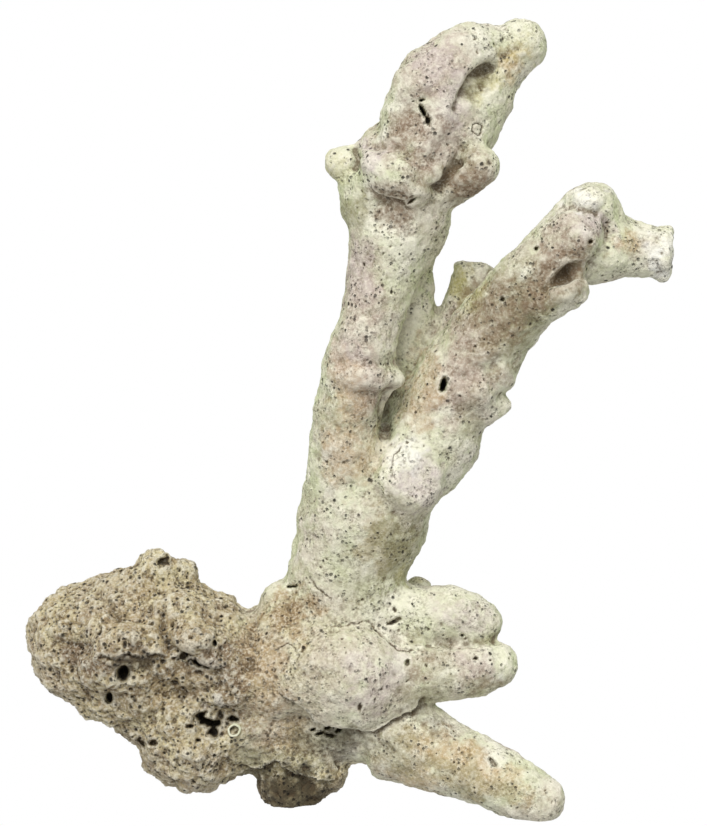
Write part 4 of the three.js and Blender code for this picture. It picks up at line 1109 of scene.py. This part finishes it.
class CORAL_OT_stage(bpy.types.Operator):
    """Sets the floor, the lights, the sky and the camera"""
    bl_idname = "coral.stage"
    bl_label = "Set Stage"

    def execute(self, context):
        stage = context.scene.coral_stage
        target = Vector(SIGHT_TARGET) * MM
        half = FLOOR_HALF
        floor_mesh = bpy.data.meshes.new("floor")
        corners = [(-half, -half, 0), (half, -half, 0), (half, half, 0), (-half, half, 0)]
        floor_mesh.from_pydata(corners, [], [(0, 1, 2, 3)])
        # The photograph is cut out on plain white, so the floor is a light table and takes no shadow.
        table = bpy.data.materials.new("light_table")
        table.use_nodes = True
        table.node_tree.nodes.clear()
        glow = add_node(table.node_tree, "ShaderNodeEmission", {"Strength": 1.0})
        add_node(table.node_tree, "ShaderNodeOutputMaterial", {"Surface": glow.outputs["Emission"]})
        floor_mesh.materials.append(table)
        floor = bpy.data.objects.new("floor", floor_mesh)
        context.scene.collection.objects.link(floor)
        floor.visible_diffuse = False

        lamp = bpy.data.lights.new("key", "SUN")
        lamp.energy = stage.key_strength
        lamp.angle = stage.key_width
        key = bpy.data.objects.new("key", lamp)
        key.location = Vector(KEY_FROM)
        key.rotation_euler = (-Vector(KEY_FROM)).to_track_quat("-Z", "Y").to_euler()
        context.scene.collection.objects.link(key)

        world = bpy.data.worlds.new("studio")
        world.use_nodes = True
        world.node_tree.nodes["Background"].inputs["Color"].default_value = (1, 1, 1, 1)
        world.node_tree.nodes["Background"].inputs["Strength"].default_value = stage.sky_strength
        context.scene.world = world

        tilt = np.radians(SIGHT_ELEVATION)
        lens = bpy.data.cameras.new("camera")
        lens.sensor_fit = "VERTICAL"
        lens.sensor_height = SENSOR_HEIGHT
        lens.lens = SENSOR_HEIGHT * SIGHT_DISTANCE / FRAME_HEIGHT
        lens.clip_end = VIEW_END
        camera = bpy.data.objects.new("camera", lens)
        back = Vector((0, -np.cos(tilt), np.sin(tilt))) * SIGHT_DISTANCE * MM
        camera.location = target + back
        camera.rotation_euler = (-back).to_track_quat("-Z", "Y").to_euler()
        context.scene.collection.objects.link(camera)
        context.scene.camera = camera
        context.scene.view_settings.view_transform = "Standard"
        return {"FINISHED"}


class CORAL_PT_panel(bpy.types.Panel):
    """The coral's sizes, colours and steps"""
    bl_idname = "CORAL_PT_panel"
    bl_label = "Branching Coral"
    bl_space_type = "VIEW_3D"
    bl_region_type = "UI"
    bl_category = "Coral"

    def draw(self, context):
        for group in (context.scene.coral_form, context.scene.coral_colours, context.scene.coral_stage):
            box = self.layout.box()
            for name in group.bl_rna.properties.keys():
                if name not in ("rna_type", "name"):
                    box.prop(group, name)
        for operator in OPERATORS:
            self.layout.operator(operator.bl_idname)


GROUPS = {"coral_form": CoralForm, "coral_colours": CoralColours, "coral_stage": CoralStage}
OPERATORS = (CORAL_OT_stage, CORAL_OT_grow, CORAL_OT_tube)


def register():
    """Registers the classes and puts their settings on the scene."""
    for group in (*GROUPS.values(), *OPERATORS, CORAL_PT_panel):
        bpy.utils.register_class(group)
    for name, group in GROUPS.items():
        setattr(bpy.types.Scene, name, bpy.props.PointerProperty(type=group))


def unregister():
    """Takes the settings off the scene and unregisters the classes."""
    for name in GROUPS:
        delattr(bpy.types.Scene, name)
    for group in (CORAL_PT_panel, *OPERATORS, *GROUPS.values()):
        bpy.utils.unregister_class(group)


def main():
    """Builds the stage and the coral."""
    register()
    bpy.ops.coral.stage()
    bpy.ops.coral.grow()
    bpy.ops.coral.tube()


if __name__ == "__main__":
    main()
